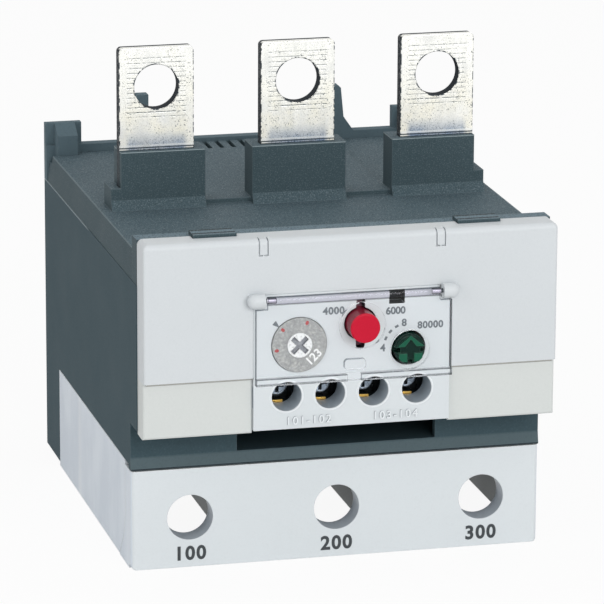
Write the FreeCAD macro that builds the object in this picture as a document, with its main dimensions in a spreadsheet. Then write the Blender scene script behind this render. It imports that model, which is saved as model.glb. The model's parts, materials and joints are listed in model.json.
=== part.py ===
"""Three-pole thermal overload relay, as a parametric FreeCAD document.

Frame: X to the right seen from the front, Y from the front to the back, Z up.
The origin is at the middle of the base, half-way between the tip of the stop
button and the back plane. All lengths are in millimetres.
"""

import FreeCAD
import Part
import Sketcher
import math
import os
import re

from FreeCAD import Placement, Rotation, Vector

SIZES = {
    # planes that everything is measured from
    "front": -54.35,
    "back": 58.65,
    # rear housing
    "housing_width": 95.5,
    "housing_wall": 2.0,
    "deck_z": 24.5,
    "deck_thick": 2.0,
    "side_top": 68.2,
    "back_wall": 3.0,
    "back_wall_top": 76.8,
    "foot_z": 1.2,
    "strip_deep": 13.5,
    "strip_bottom": 23.5,
    "strip_flare": 0.6,
    "strip_flare_top": 2.9,
    "cheek_bottom": 34.7,
    "shelf_thick": 1.5,
    "window_width": 46.4,
    "window_bottom": 26.5,
    "window_top": 33.4,
    "ear_width": 8.8,
    "ear_top": 82.1,
    "ear_thick": 2.0,
    "gusset_width": 5.0,
    "gusset_inset": 2.2,
    "gusset_deep": 6.0,
    "gusset_top": 79.6,
    "hook_inner": 22.5,
    "hook_width": 3.9,
    "hook_top": 88.2,
    "hook_foot": 80.4,
    "hook_foot_width": 6.4,
    "hook_tip_width": 3.2,
    "hook_bevel": 0.6,
    # top cover
    "roof_z": 74.9,
    "roof_thick": 2.0,
    "roof_seam": 0.03,
    "roof_inset": 0.95,
    "plateau_rise": 1.1,
    "plateau_start": 50.7,
    "frame_top": 78.6,
    "frame_deep": 11.2,
    "frame_wing": 4.6,
    "clip_offset": 30.35,
    "clip_width": 9.8,
    "clip_thick": 1.1,
    "clip_front": 4.35,
    "clip_back": 9.15,
    "clip_rise": 0.9,
    "vent_count": 7,
    "vent_pitch": 2.95,
    "vent_width": 1.1,
    "vent_long": 8.1,
    "vent_start": 102.05,
    # sleeves round the line bars
    "sleeve_front": 49.3,
    "sleeve_back": 57.0,
    "sleeve_top": 88.4,
    "sleeve_half": 11.1,
    "sleeve_base_top": 79.9,
    "sleeve_flare": 1.3,
    "sleeve_flare_top": 77.2,
    # poles
    "pole_edge": 5.7,
    "bar_width": 17.46,
    "bar_thick": 3.0,
    "bar_front": 50.9,
    "bar_top": 112.25,
    "bar_bottom": 62.0,
    "bar_corner": 1.0,
    "bar_hole": 5.2,
    "bar_hole_drop": 9.15,
    "slot_gap": 0.15,
    "load_front": 62.0,
    "load_thick": 3.0,
    "load_width": 16.0,
    "load_bottom": 5.2,
    "load_top": 44.0,
    "load_hole": 4.3,
    "load_z": 11.73,
    "screw_shank": 4.0,
    "screw_head": 6.0,
    "screw_head_tall": 5.0,
    "screw_socket": 3.3,
    "screw_socket_deep": 3.0,
    "screw_long": 12.0,
    "nut_side": 13.0,
    "nut_thick": 4.0,
    "thread_gap": 0.05,
    "heater_front": 57.0,
    "heater_thick": 1.2,
    "heater_strip": 2.6,
    "heater_half": 6.5,
    "heater_bottom": 38.0,
    "heater_top": 68.0,
    "heater_turns": 4,
    "heater_share": 0.45,
    "heater_foot": 4.0,
    "bimetal_y": 68.0,
    "bimetal_wide": 5.0,
    "bimetal_thick": 1.2,
    "bimetal_top": 70.8,
    "bimetal_foot_z": 33.0,
    "bimetal_foot_tall": 4.0,
    "bimetal_foot_half": 4.0,
    "partition_thick": 1.6,
    "partition_top": 64.2,
    # sliders over the bimetals
    "slider_travel": 2.0,
    "slider_y": 66.0,
    "slider_wide": 9.0,
    "slider_end": 6.68,
    "slider_thick": 1.6,
    "slider_step": 0.4,
    "slider_window_gap": 0.4,
    "arm_window_left": 0.8,
    "arm_window_right": 2.4,
    "arm_window_rise": 1.2,
    "arm_gap": 0.3,
    "arm_width": 4.7,
    "arm_end": 27.0,
    # mechanism
    "inner_wall_y": 31.0,
    "inner_wall_thick": 2.0,
    "inner_wall_gap": 1.25,
    "inner_wall_top": 72.4,
    "bridge_side_gap": 0.4,
    "pivot_y": 19.0,
    "pivot_pin": 1.0,
    "pivot_gap": 0.05,
    "pivot_boss": 2.6,
    "lug_low": 49.0,
    "lug_high": 69.6,
    "lug_thick": 1.8,
    "lug_half": 2.6,
    "lug_front": 15.6,
    "lever_arm": 10.0,
    "lever_thick": 1.4,
    "lever_low": 57.4,
    "lever_tall": 2.6,
    "strip_thick": 1.0,
    "strip_root": 0.6,
    "strip_reach": 29.6,
    "strip_hang": 3.2,
    "guide_y": 13.0,
    "guide_thick": 2.0,
    "guide_half": 26.5,
    "guide_low": 48.6,
    "guide_high": 61.6,
    "shaft_gap": 0.08,
    "carrier_y": 20.4,
    "carrier_deep": 4.2,
    "carrier_half": 14.0,
    "carrier_low": 53.2,
    "carrier_tall": 3.8,
    "lug_gap": 0.15,
    "contact_width": 4.0,
    "contact_thick": 0.8,
    "contact_low": 45.2,
    "contact_high": 52.9,
    "contact_z": 51.0,
    "contact_tip": 1.1,
    "bridge_reach": 1.54,
    "contact_tip_tall": 0.5,
    "contact_air": 0.3,
    # fascia
    "fascia_inset": 0.25,
    "fascia_top": 78.8,
    "fascia_step": 47.1,
    "fascia_lip": 0.7,
    "fascia_bottom": 34.05,
    "fascia_deep": 6.56,
    "fascia_wall": 2.4,
    "fascia_recess": 1.15,
    "slit_offset": 20.3,
    "slit_pitch": 1.95,
    "slit_width": 0.3,
    "slit_deep": 0.6,
    "slit_bottom": 74.95,
    "slit_foot": 0.8,
    "slit_over": 2.4,
    "fascia_round": 1.3,
    "fascia_round_small": 0.6,
    "seam": 0.15,
    "boss_offset": 22.65,
    "boss_round": 1.7,
    "boss_long": 2.2,
    "boss_neck": 1.2,
    "boss_z": 65.1,
    # control insert
    "insert_width": 45.1,
    "insert_top": 66.0,
    "insert_bottom": 34.9,
    "insert_recess": 0.4,
    "insert_thick": 2.2,
    "flange_half": 25.0,
    "flange_thick": 1.2,
    "flange_low": 36.0,
    "flange_high": 68.0,
    "aux_pitch": 10.0,
    "aux_z": 42.5,
    "aux_hole": 3.45,
    "aux_rim": 0.3,
    "aux_rim_tall": 0.15,
    "aux_barrel_wall": 0.9,
    "aux_barrel_end": 7.2,
    "aux_head": 2.6,
    "aux_head_crown": 2.08,
    "aux_head_rim": 0.8,
    "aux_head_front": 9.2,
    "aux_head_tall": 2.0,
    "aux_shank": 1.7,
    "aux_screw_end": 18.0,
    "aux_cross": 0.8,
    "aux_cross_long": 3.38,
    "aux_cross_deep": 1.2,
    "aux_plate_half": 3.1,
    "aux_plate_thick": 0.8,
    "aux_plate_low": 39.0,
    "aux_lip_right": 0.9,
    "aux_lip_thick": 0.55,
    "aux_plate_front": 7.6,
    "aux_block_half": 21.0,
    "aux_block_low": 36.4,
    "aux_block_back": 18.6,
    # setting dial
    "dial_x": -12.14,
    "dial_z": 54.2,
    "dial_round": 6.25,
    "dial_gap": 0.12,
    "dial_thick": 2.4,
    "dial_hub": 2.85,
    "dial_hub_rise": 0.3,
    "dial_cross_long": 4.7,
    "dial_cross_wide": 1.1,
    "dial_cross_deep": 0.9,
    "dial_shaft": 2.0,
    "cam_start": 15.2,
    "cam_thick": 2.6,
    "cam_round": 3.6,
    "cam_offset": 1.1,
    # stop button
    "button_x": 1.97,
    "button_z": 58.2,
    "button_round": 3.4,
    "button_gap": 0.35,
    "button_reach": 4.3,
    "button_back": 3.2,
    "button_edge": 0.35,
    "button_key_width": 1.7,
    "button_key_reach": 5.5,
    "button_key_front": 2.4,
    "keyway_width": 2.1,
    "keyway_reach": 6.0,
    "button_stem": 1.6,
    "button_stem_end": 17.0,
    "coil_wire": 0.25,
    "coil_turns": 5,
    "coil_clearance": 0.35,
    # reset knob
    "knob_x": 12.97,
    "knob_z": 52.0,
    "knob_round": 3.5,
    "knob_gap": 0.55,
    "knob_face": -1.7,
    "knob_thick": 4.8,
    "knob_arrow_rise": 0.5,
    "knob_arrow_top": 3.3,
    "knob_arrow_half": 3.05,
    "knob_arrow_inner_top": 2.5,
    "knob_arrow_inner_half": 1.35,
    "knob_slot": 1.6,
    "knob_notch_deep": 2.6,
    "knob_notch_width": 1.1,
    "knob_notch_long": 1.2,
    "knob_edge": 0.5,
    "knob_pad_side": 1.9,
    "knob_pad_bevel": 0.7,
    "plunger_round": 1.8,
    "plunger_socket": 1.0,
    "plunger_end": 17.4,
    "plunger_collar": 3.0,
    "plunger_collar_thick": 1.0,
    # trip flag
    "flag_x": 10.3,
    "flag_z": 63.9,
    "flag_window_width": 3.6,
    "flag_window_tall": 3.2,
    "flag_plate_half": 4.6,
    "flag_plate_tall": 3.0,
    "flag_front": 4.2,
    "flag_thick": 1.0,
    "flag_rail": 0.3,
    "flag_tail_end": 9.0,
    "flag_tail_thick": 1.2,
    "flag_tail_half": 1.0,
    "flag_tail_gap": 0.15,
    "flag_arm_thick": 1.2,
    "flag_arm_end": 8.0,
    "flag_arm_half": 1.0,
    # flip cover
    "flip_width": 45.0,
    "flip_low": 45.75,
    "flip_thick": 1.0,
    "flip_front": -1.9,
    "flip_rod": 0.9,
    "flip_rod_long": 39.6,
    "flip_pin": 0.5,
    "flip_pin_gap": 0.05,
    "flip_pin_deep": 2.0,
    "flip_top_gap": 0.3,
    "flip_hole": 5.3,
    "flip_knob_hole": 4.5,
    "flip_grip_width": 4.9,
    "flip_grip_tall": 2.4,
    "flip_grip_z": 49.7,
    "flip_grip_rise": 0.9,
    "flip_grip_round": 0.8,
    "flip_lip_tall": 1.5,
    "flip_lip_rise": 0.5,
    "flip_lip_gap": 3.2,
    # lower cover
    "cover_front": 12.9,
    "cover_wall": 2.5,
    "cover_top": 23.25,
    "cover_side_wall": 2.0,
    "cover_return": 19.3,
    "cover_return_low": 25.9,
    "cover_return_bend": 12.0,
    "cover_return_knee": 20.95,
    "cover_return_knee_z": 6.0,
    "cover_hole_edge": 13.58,
    "cover_hole": 5.3,
    "cover_barrel_wall": 1.4,
    "cover_barrel_end": 18.4,
    "cover_round": 1.2,
    # terminal shroud
    "shroud_back": 96.4,
    "shroud_low": 0.25,
    "shroud_top_thick": 1.5,
    "shroud_partition_front": 21.2,
    "shroud_slot_gap": 0.6,
    "chamber_half": 12.0,
}

os.makedirs("parts", exist_ok=True)
doc = FreeCAD.newDocument("overload_relay")
sheet = doc.addObject("Spreadsheet::Sheet", "Sizes")
for row, (alias, value) in enumerate(SIZES.items(), start=1):
    sheet.set(f"A{row}", alias)
    sheet.set(f"B{row}", str(value))
    sheet.setAlias(f"B{row}", alias)
doc.recompute()

sub_parts = []
SIDE = "(housing_width / 2)"
ROOF_HALF = f"({SIDE} - roof_inset)"
PITCH = f"({SIDE} - pole_edge - bar_width / 2)"
COVER_PITCH = f"({SIDE} - cover_hole_edge)"
POLES = {"left": f"(-{PITCH})", "middle": "0", "right": PITCH}
COVER_HOLES = (f"(-{COVER_PITCH})", "0", COVER_PITCH)
PIVOT_X = "(1.5 * aux_pitch + contact_width / 2 + bridge_side_gap + lug_half)"
ARM_X = f"({PIVOT_X} - strip_thick / 2 - arm_gap - arm_width)"
AUX_POSITIONS = ("(-1.5 * aux_pitch)", "(-0.5 * aux_pitch)", "(0.5 * aux_pitch)", "(1.5 * aux_pitch)")
DIAGONAL = f"{math.sqrt(0.5):.6f}"
ALONG = {"X": Rotation(Vector(0, 1, 0), 90), "Y": Rotation(Vector(1, 0, 0), -90), "Z": Rotation()}


def bound(text):
    """The expression with each alias read from the sheet."""
    return re.sub(r"[a-z_]\w*", lambda word: f"Sizes.{word.group(0)}", text)


def size(text):
    """The present value of an expression on the sheet."""
    names = set(re.findall(r"[a-z_]\w*", text))
    return work_out(text, {name: float(getattr(sheet, name)) for name in names})


def work_out(text, values):
    """Works out sums and products of named values with the document's own expression engine."""
    for name in sorted(values, key=len, reverse=True):
        text = re.sub(rf"\b{name}\b", f"({values[name]!r})", text)
    return float(FreeCAD.Units.Quantity(text).Value)


def bind(item, prop, text):
    item.setExpression(prop, bound(text))


def put(item, x, y, z):
    """Binds the three coordinates of an object's place."""
    for letter, text in zip("xyz", (x, y, z)):
        bind(item, f"Placement.Base.{letter}", text)


def block(x, y, z):
    """A box from the first to the second of each pair of expressions."""
    box = doc.addObject("Part::Box", "Block")
    for prop, (low, high) in zip(("Length", "Width", "Height"), (x, y, z)):
        bind(box, prop, f"({high}) - ({low})")
    put(box, x[0], y[0], z[0])
    return box


def rod(along, centre, span, radius):
    """A cylinder; centre is its place across the axis, span its two ends along it."""
    cylinder = doc.addObject("Part::Cylinder", "Rod")
    cylinder.Placement = Placement(Vector(), ALONG[along])
    bind(cylinder, "Radius", radius)
    bind(cylinder, "Height", f"({span[1]}) - ({span[0]})")
    place = list(centre)
    place.insert("XYZ".index(along), span[0])
    put(cylinder, *place)
    return cylinder


def fuse(*shapes):
    union = doc.addObject("Part::MultiFuse", "Union")
    union.Shapes = list(shapes)
    union.Refine = True
    return union


def cut(base, *tools):
    difference = doc.addObject("Part::Cut", "Difference")
    difference.Base = base
    difference.Tool = tools[0] if len(tools) == 1 else fuse(*tools)
    difference.Refine = True
    return difference


def group(*shapes):
    """Separate solids of one sub-part, such as a set of screws."""
    compound = doc.addObject("Part::Compound", "Group")
    compound.Links = list(shapes)
    return compound


def soften(base, radius, wanted):
    """Rounds those edges of an object that the wanted test picks."""
    doc.recompute()
    edges = [n for n, edge in enumerate(base.Shape.Edges, start=1) if wanted(edge)]
    rounded = doc.addObject("Part::Fillet", "Rounded")
    rounded.Base = base
    rounded.Edges = [(n, size(radius), size(radius)) for n in edges]
    return rounded


def is_straight(edge, letter):
    """Whether an edge runs along the axis with that letter."""
    if edge.Curve.TypeId != "Part::GeomLine":
        return False
    return abs(getattr(edge.Curve.Direction, letter)) > 0.999


def lies_at(edge, letter, text, reach=0.01):
    """Whether the whole edge lies at one coordinate."""
    box = edge.BoundBox
    value = size(text)
    return all(abs(getattr(box, letter + end) - value) < reach for end in ("Min", "Max"))


def sub_part(item, label):
    """Names a finished piece; its label is its file's name."""
    item.Label = label
    sub_parts.append(item)
    return item


def new_body(name):
    return doc.addObject("PartDesign::Body", name)


def sketch(body, role, offset=("0", "0", "0")):
    """An empty sketch on one of the body's own origin planes."""
    item = body.newObject("Sketcher::SketchObject", "Sketch")
    plane = [feature for feature in body.Origin.OriginFeatures if feature.Role == role][0]
    item.AttachmentSupport = (plane, [""])
    item.MapMode = "FlatFace"
    for letter, text in zip("xyz", offset):
        bind(item, f"AttachmentOffset.Base.{letter}", text)
    return item


def pin_point(item, geometry, end, x, y):
    """Holds one point of a sketch at a bound distance from the sketch's origin."""
    for kind, text, axis in (("DistanceX", x, -2), ("DistanceY", y, -1)):
        value = size(text)
        if abs(value) < 1e-9:
            item.addConstraint(Sketcher.Constraint("PointOnObject", geometry, end, axis))
        else:
            number = item.addConstraint(Sketcher.Constraint(kind, -1, 1, geometry, end, value))
            item.setExpression(f"Constraints[{number}]", bound(text))


def outline(item, points):
    """A closed outline of straight lines through bound points."""
    first = item.GeometryCount
    corners = [Vector(size(x), size(y), 0) for x, y in points]
    count = len(corners)
    for n in range(count):
        item.addGeometry(Part.LineSegment(corners[n], corners[(n + 1) % count]), False)
    for n in range(count):
        item.addConstraint(Sketcher.Constraint("Coincident", first + n, 2, first + (n + 1) % count, 1))
        pin_point(item, first + n, 1, *points[n])


def ring(item, x, y, radius):
    """A circle with a bound centre and radius."""
    number = item.addGeometry(Part.Circle(Vector(size(x), size(y), 0), Vector(0, 0, 1), size(radius)), False)
    pin_point(item, number, 3, x, y)
    constraint = item.addConstraint(Sketcher.Constraint("Radius", number, size(radius)))
    item.setExpression(f"Constraints[{constraint}]", bound(radius))


def pad(body, profile, length):
    feature = body.newObject("PartDesign::Pad", "Pad")
    feature.Profile = profile
    bind(feature, "Length", length)
    return feature


def pocket(body, profile, length, reverse=False):
    feature = body.newObject("PartDesign::Pocket", "Pocket")
    feature.Profile = profile
    feature.Reversed = reverse
    bind(feature, "Length", length)
    return feature


def turn(body, profile, axis):
    feature = body.newObject("PartDesign::Revolution", "Revolution")
    feature.Profile = profile
    feature.ReferenceAxis = (profile, [axis])
    feature.Angle = 360
    return feature


def dress(body, kind, base, length, wanted):
    """A fillet or chamfer on the picked edges of a body's last feature."""
    doc.recompute()
    names = [f"Edge{n}" for n, edge in enumerate(base.Shape.Edges, start=1) if wanted(edge)]
    feature = body.newObject(f"PartDesign::{kind}", kind)
    feature.Base = (base, names)
    bind(feature, "Radius" if kind == "Fillet" else "Size", length)
    return feature


def plate(name, points, y, thick, holes=()):
    """A flat body in the XZ plane from y towards the back; holes are x, z and radius."""
    body = new_body(name)
    face = sketch(body, "XZ_Plane", ("0", "0", f"-({y}) - ({thick})"))
    outline(face, points)
    for x, z, radius in holes:
        ring(face, x, z, radius)
    return body, pad(body, face, thick)


def turned_along_y(name, x, z, points):
    """A body of revolution about a line along Y through x, z; points are radius and y."""
    body = new_body(name)
    profile = sketch(body, "XY_Plane", (x, "0", z))
    outline(profile, points)
    return body, turn(body, profile, "V_Axis")


def rectangle(x, z):
    """The four corners of a rectangle, for an outline."""
    return [(x[0], z[0]), (x[1], z[0]), (x[1], z[1]), (x[0], z[1])]


def prism(points, x):
    """A prism along X; points are y and z."""
    body = new_body("Prism")
    profile = sketch(body, "YZ_Plane", ("0", "0", x[0]))
    outline(profile, points)
    pad(body, profile, f"({x[1]}) - ({x[0]})")
    return body


def around(middle, half):
    """The span a half-width to each side of the middle."""
    return f"{middle} - {half}", f"{middle} + {half}"


def both_sides(maker):
    """The same thing made on the left (-1) and on the right (+1)."""
    return [maker(sign) for sign in (-1, 1)]


def mirrored_span(sign, inner, outer):
    """The span between two distances from the middle, on the side given by the sign."""
    return (inner, outer) if sign > 0 else (f"-({outer})", f"-({inner})")


def load_slots(z):
    """Openings for the three load bars through a wall that spans z."""
    y = ("front + load_front - shroud_slot_gap", "front + load_front + load_thick + shroud_slot_gap")
    return [block(around(x, "(load_width / 2 + shroud_slot_gap)"), y, z) for x in POLES.values()]


def rear_housing():
    inner = f"({SIDE} - housing_wall)"
    inner_back = "back - back_wall"
    shell = block((f"-{SIDE}", SIDE), ("front + strip_deep", "back"), ("deck_z", "side_top"))
    strip = block((f"-{SIDE}", SIDE), ("front + strip_deep", "front + strip_deep + housing_wall"),
                  ("strip_bottom", "deck_z + deck_thick"))
    flare = prism([("front + strip_deep", "strip_bottom + strip_flare_top"),
                   ("front + strip_deep", "strip_bottom"),
                   ("front + strip_deep - strip_flare", "strip_bottom")], (f"-{SIDE}", SIDE))
    wall = block((f"-{SIDE}", SIDE), (inner_back, "back"), ("foot_z", "back_wall_top"))

    def cheek(sign):
        return block(mirrored_span(sign, inner, SIDE), ("front + fascia_deep", "front + strip_deep"),
                     ("cheek_bottom", "side_top"))

    def shelf(sign):
        return block(mirrored_span(sign, "window_width / 2", SIDE),
                     ("front + fascia_deep", "front + strip_deep"),
                     ("cheek_bottom", "cheek_bottom + shelf_thick"))

    def leg(sign):
        return block(mirrored_span(sign, inner, SIDE), ("front + shroud_back + seam", "back"),
                     ("foot_z", "deck_z"))

    def ear(sign):
        return block(mirrored_span(sign, f"{SIDE} - ear_width", SIDE), ("back - ear_thick", "back"),
                     ("side_top", "ear_top"))

    def gusset(sign):
        span = mirrored_span(sign, f"{SIDE} - gusset_inset - gusset_width", f"{SIDE} - gusset_inset")
        foot = "back_wall_top - back_wall"
        return prism([("back - gusset_deep", foot), ("back - gusset_deep", "gusset_top"),
                      ("back - ear_thick", "ear_top"), ("back - ear_thick", foot)], span)

    def hook(sign):
        tip = "hook_inner + hook_tip_width"
        points = [("hook_inner", "back_wall_top"), ("hook_inner + hook_foot_width", "back_wall_top"),
                  ("hook_inner + hook_width", "hook_foot"), (tip, "hook_top - hook_bevel"),
                  (f"{tip} - hook_bevel", "hook_top"), ("hook_inner", "hook_top")]
        if sign < 0:
            points = [(f"-({x})", z) for x, z in points]
        return plate("Hook", points, inner_back, "back_wall")[0]

    solids = [shell, strip, flare, wall]
    for maker in (cheek, shelf, leg, ear, gusset, hook):
        solids += both_sides(maker)
    cavity = block((f"-{inner}", inner), ("front + strip_deep + housing_wall", inner_back),
                   ("deck_z + deck_thick", "side_top + roof_thick"))
    front_opening = block((f"-{inner}", inner), ("front + strip_deep", "front + strip_deep + housing_wall"),
                          ("cheek_bottom + shelf_thick", "side_top"))
    ledge = block((f"-{SIDE} + gusset_inset", f"{SIDE} - gusset_inset"),
                  (f"{inner_back} - gusset_deep", inner_back), ("side_top", "side_top + roof_thick"))
    window = block(("-window_width / 2", "window_width / 2"),
                   ("front + strip_deep - strip_flare", "front + strip_deep + housing_wall"),
                   ("window_bottom", "window_top"))
    slots = load_slots(("deck_z", "deck_z + deck_thick"))
    open_box = cut(fuse(*solids), cavity, front_opening, ledge, window, *slots)
    partitions = [block(around(x, "partition_thick / 2"),
                        ("front + inner_wall_y + inner_wall_thick + seam", inner_back),
                        ("deck_z + deck_thick", "partition_top"))
                  for x in (f"(-{PITCH} / 2)", f"({PITCH} / 2)")]
    sub_part(fuse(open_box, *partitions), "rear_housing")


def sleeve(name, x):
    """The shroud in front of and around one line bar; open on the outer side of the outer poles."""
    inner_side = "sleeve_half"
    flush = "bar_width / 2"
    low, high = f"({x} - {inner_side})", f"({x} + {inner_side})"
    if name == "left":
        low = f"({x} - {flush})"
    if name == "right":
        high = f"({x} + {flush})"
    under = "roof_z - roof_thick"
    depth = ("front + sleeve_front", "front + sleeve_back")
    foot_top = "sleeve_flare_top" if name == "middle" else "sleeve_base_top"
    across = around(x, inner_side)
    tower = block((low, high), depth, (under, "sleeve_top"))
    foot = block(across, depth, (under, foot_top))
    flare = prism([("front + sleeve_front", under), ("front + sleeve_front", "sleeve_flare_top"),
                   ("front + sleeve_front - sleeve_flare", "roof_z"),
                   ("front + sleeve_front - sleeve_flare", under)], across)
    return fuse(tower, foot, flare)


def bar_slot(name, x):
    """The slot that a line bar stands in, open past the outer side above the sleeve's base."""
    half = "(bar_width / 2 + slot_gap)"
    depth = ("front + bar_front - slot_gap", "front + bar_front + bar_thick + slot_gap")
    through = block(around(x, half), depth, ("roof_z - roof_thick", "sleeve_top"))
    if name == "middle":
        return through
    outer = (f"{x} - sleeve_half", x) if name == "left" else (x, f"{x} + sleeve_half")
    return fuse(through, block(outer, depth, ("sleeve_base_top", "sleeve_top")))


def top_cover():
    foot_out = f"({SIDE} - seam)"
    foot_in = f"({SIDE} - housing_wall)"
    arch = new_body("Arch")
    section = sketch(arch, "XZ_Plane", ("0", "0", "-(back - back_wall - seam)"))
    under = "roof_z - roof_thick"
    eaves = "side_top + roof_seam"
    outline(section, [(f"-{foot_out}", eaves), (f"-{ROOF_HALF}", "roof_z"), (ROOF_HALF, "roof_z"),
                      (foot_out, eaves), (foot_in, eaves),
                      (f"{ROOF_HALF} - housing_wall", under), (f"-{ROOF_HALF} + housing_wall", under),
                      (f"-{foot_in}", eaves)])
    pad(arch, section, "back - back_wall - seam - front - fascia_deep - seam")
    plateau = block((f"-{PITCH} + sleeve_half", f"{PITCH} - sleeve_half"),
                    ("front + plateau_start", "back - back_wall - seam"), (under, "roof_z + plateau_rise"))
    front_face = "front + fascia_deep + seam"
    frame_y = (front_face, "front + frame_deep")
    rim = block((f"-{SIDE} + seam", f"{SIDE} - seam"), frame_y, (under, "frame_top"))
    wings = both_sides(lambda sign: block(
        mirrored_span(sign, f"{SIDE} - seam - frame_wing", f"{SIDE} - seam"), frame_y, (eaves, under)))
    tongues = both_sides(lambda sign: block(
        (f"{sign} * clip_offset - clip_width / 2", f"{sign} * clip_offset + clip_width / 2"),
        ("front + clip_front", "front + clip_back"), ("frame_top - clip_thick", "frame_top + clip_rise")))
    sleeves = [sleeve(name, x) for name, x in POLES.items()]
    shell = fuse(arch, plateau, rim, *wings, *tongues, *sleeves)
    slots = [bar_slot(name, x) for name, x in POLES.items()]
    first = "(vent_count - 1) / 2 * vent_pitch"
    middles = [f"{n} * vent_pitch - {first}" for n in range(int(size("vent_count")))]
    vents = [block(around(x, "vent_width / 2"),
                   ("front + vent_start", "front + vent_start + vent_long"), (under, "roof_z + plateau_rise"))
             for x in middles]
    corner_gusset = both_sides(lambda sign: block(
        mirrored_span(sign, f"{SIDE} - gusset_inset - gusset_width - seam", SIDE),
        ("back - gusset_deep - seam", "back"), (under, "roof_z")))
    sub_part(cut(shell, *slots, *vents, *corner_gusset), "top_cover")


def fascia():
    half = f"({SIDE} - fascia_inset)"
    back_face = "front + fascia_deep"
    upper = block((f"-{half}", half), ("front", back_face), ("fascia_step", "fascia_top"))
    lower = block((f"-{half}", half), ("front + fascia_recess", back_face), ("fascia_bottom", "fascia_step"))

    def outer_front(edge):
        return lies_at(edge, "Y", "front") and lies_at(edge, "Z", "fascia_top")

    def outer_side(edge):
        return lies_at(edge, "Y", "front") and is_straight(edge, "z")

    def lower_front(edge):
        low = lies_at(edge, "Y", "front + fascia_recess")
        return low and (lies_at(edge, "Z", "fascia_bottom") or is_straight(edge, "z"))

    lip = prism([("front", "fascia_step"), ("front + fascia_recess", "fascia_step - fascia_lip"),
                 ("front + fascia_recess", "fascia_step")],
                (f"-{half} + fascia_round_small", f"{half} - fascia_round_small"))
    upper = soften(soften(upper, "fascia_round_small", outer_side), "fascia_round", outer_front)
    shell = fuse(upper, lip, soften(lower, "fascia_round_small", lower_front))
    hollow = block((f"-{half} + housing_wall", f"{half} - housing_wall"), ("front + fascia_wall", back_face),
                   ("fascia_bottom", "fascia_top - housing_wall"))
    opening = block(("-insert_width / 2 - seam", "insert_width / 2 + seam"), ("front", "front + fascia_wall"),
                    ("fascia_bottom", "insert_top + seam"))
    notches = both_sides(lambda sign: block(
        (f"{sign} * clip_offset - clip_width / 2 - seam", f"{sign} * clip_offset + clip_width / 2 + seam"),
        ("front + clip_front - seam", back_face), ("frame_top - clip_thick - seam", "fascia_top")))
    slits = []
    for sign in (-1, 1):
        slits += latch_slits(f"({sign} * slit_offset)")
    bosses = both_sides(hinge_boss)
    pin_bores = both_sides(lambda sign: rod("X", (hinge_y(), "boss_z"), boss_span(sign), "flip_pin"))
    sub_part(cut(fuse(cut(shell, hollow, opening, *notches, *slits), *bosses), *pin_bores), "fascia")


def latch_slits(centre):
    """Two shallow slits over the fascia's top edge, with feet that turn towards each other."""
    cuts = []
    depth = ("front", "front + slit_deep")
    for n in (-1, 1):
        x = f"({centre} + {n} * slit_pitch / 2)"
        width = around(x, "slit_width / 2")
        foot = (f"{x} - slit_width / 2", f"{x} + slit_foot") if n < 0 else (f"{x} - slit_foot",
                                                                          f"{x} + slit_width / 2")
        cuts.append(block(width, depth, ("slit_bottom", "fascia_top")))
        cuts.append(block(width, ("front", "front + slit_over"), ("fascia_top - slit_deep", "fascia_top")))
        cuts.append(block(foot, depth, ("slit_bottom", "slit_bottom + slit_width")))
    return cuts


def hinge_y():
    """The depth of the flip cover's hinge line."""
    return "front + flip_front + flip_thick / 2"


def boss_span(sign):
    """The straight part of a hinge boss, up to the middle of its round end."""
    return mirrored_span(sign, "boss_offset - boss_long", "boss_offset")


def hinge_boss(sign):
    """A round-ended boss that carries one end of the flip cover's hinge, on a neck from the fascia."""
    body = rod("X", (hinge_y(), "boss_z"), boss_span(sign), "boss_round")
    end = doc.addObject("Part::Sphere", "End")
    bind(end, "Radius", "boss_round")
    put(end, f"{sign} * boss_offset", hinge_y(), "boss_z")
    neck = block(mirrored_span(sign, "boss_offset - boss_long", "boss_offset + boss_neck"),
                 (hinge_y(), "front + fascia_wall"), around("boss_z", "boss_neck"))
    return fuse(body, end, neck)


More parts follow.
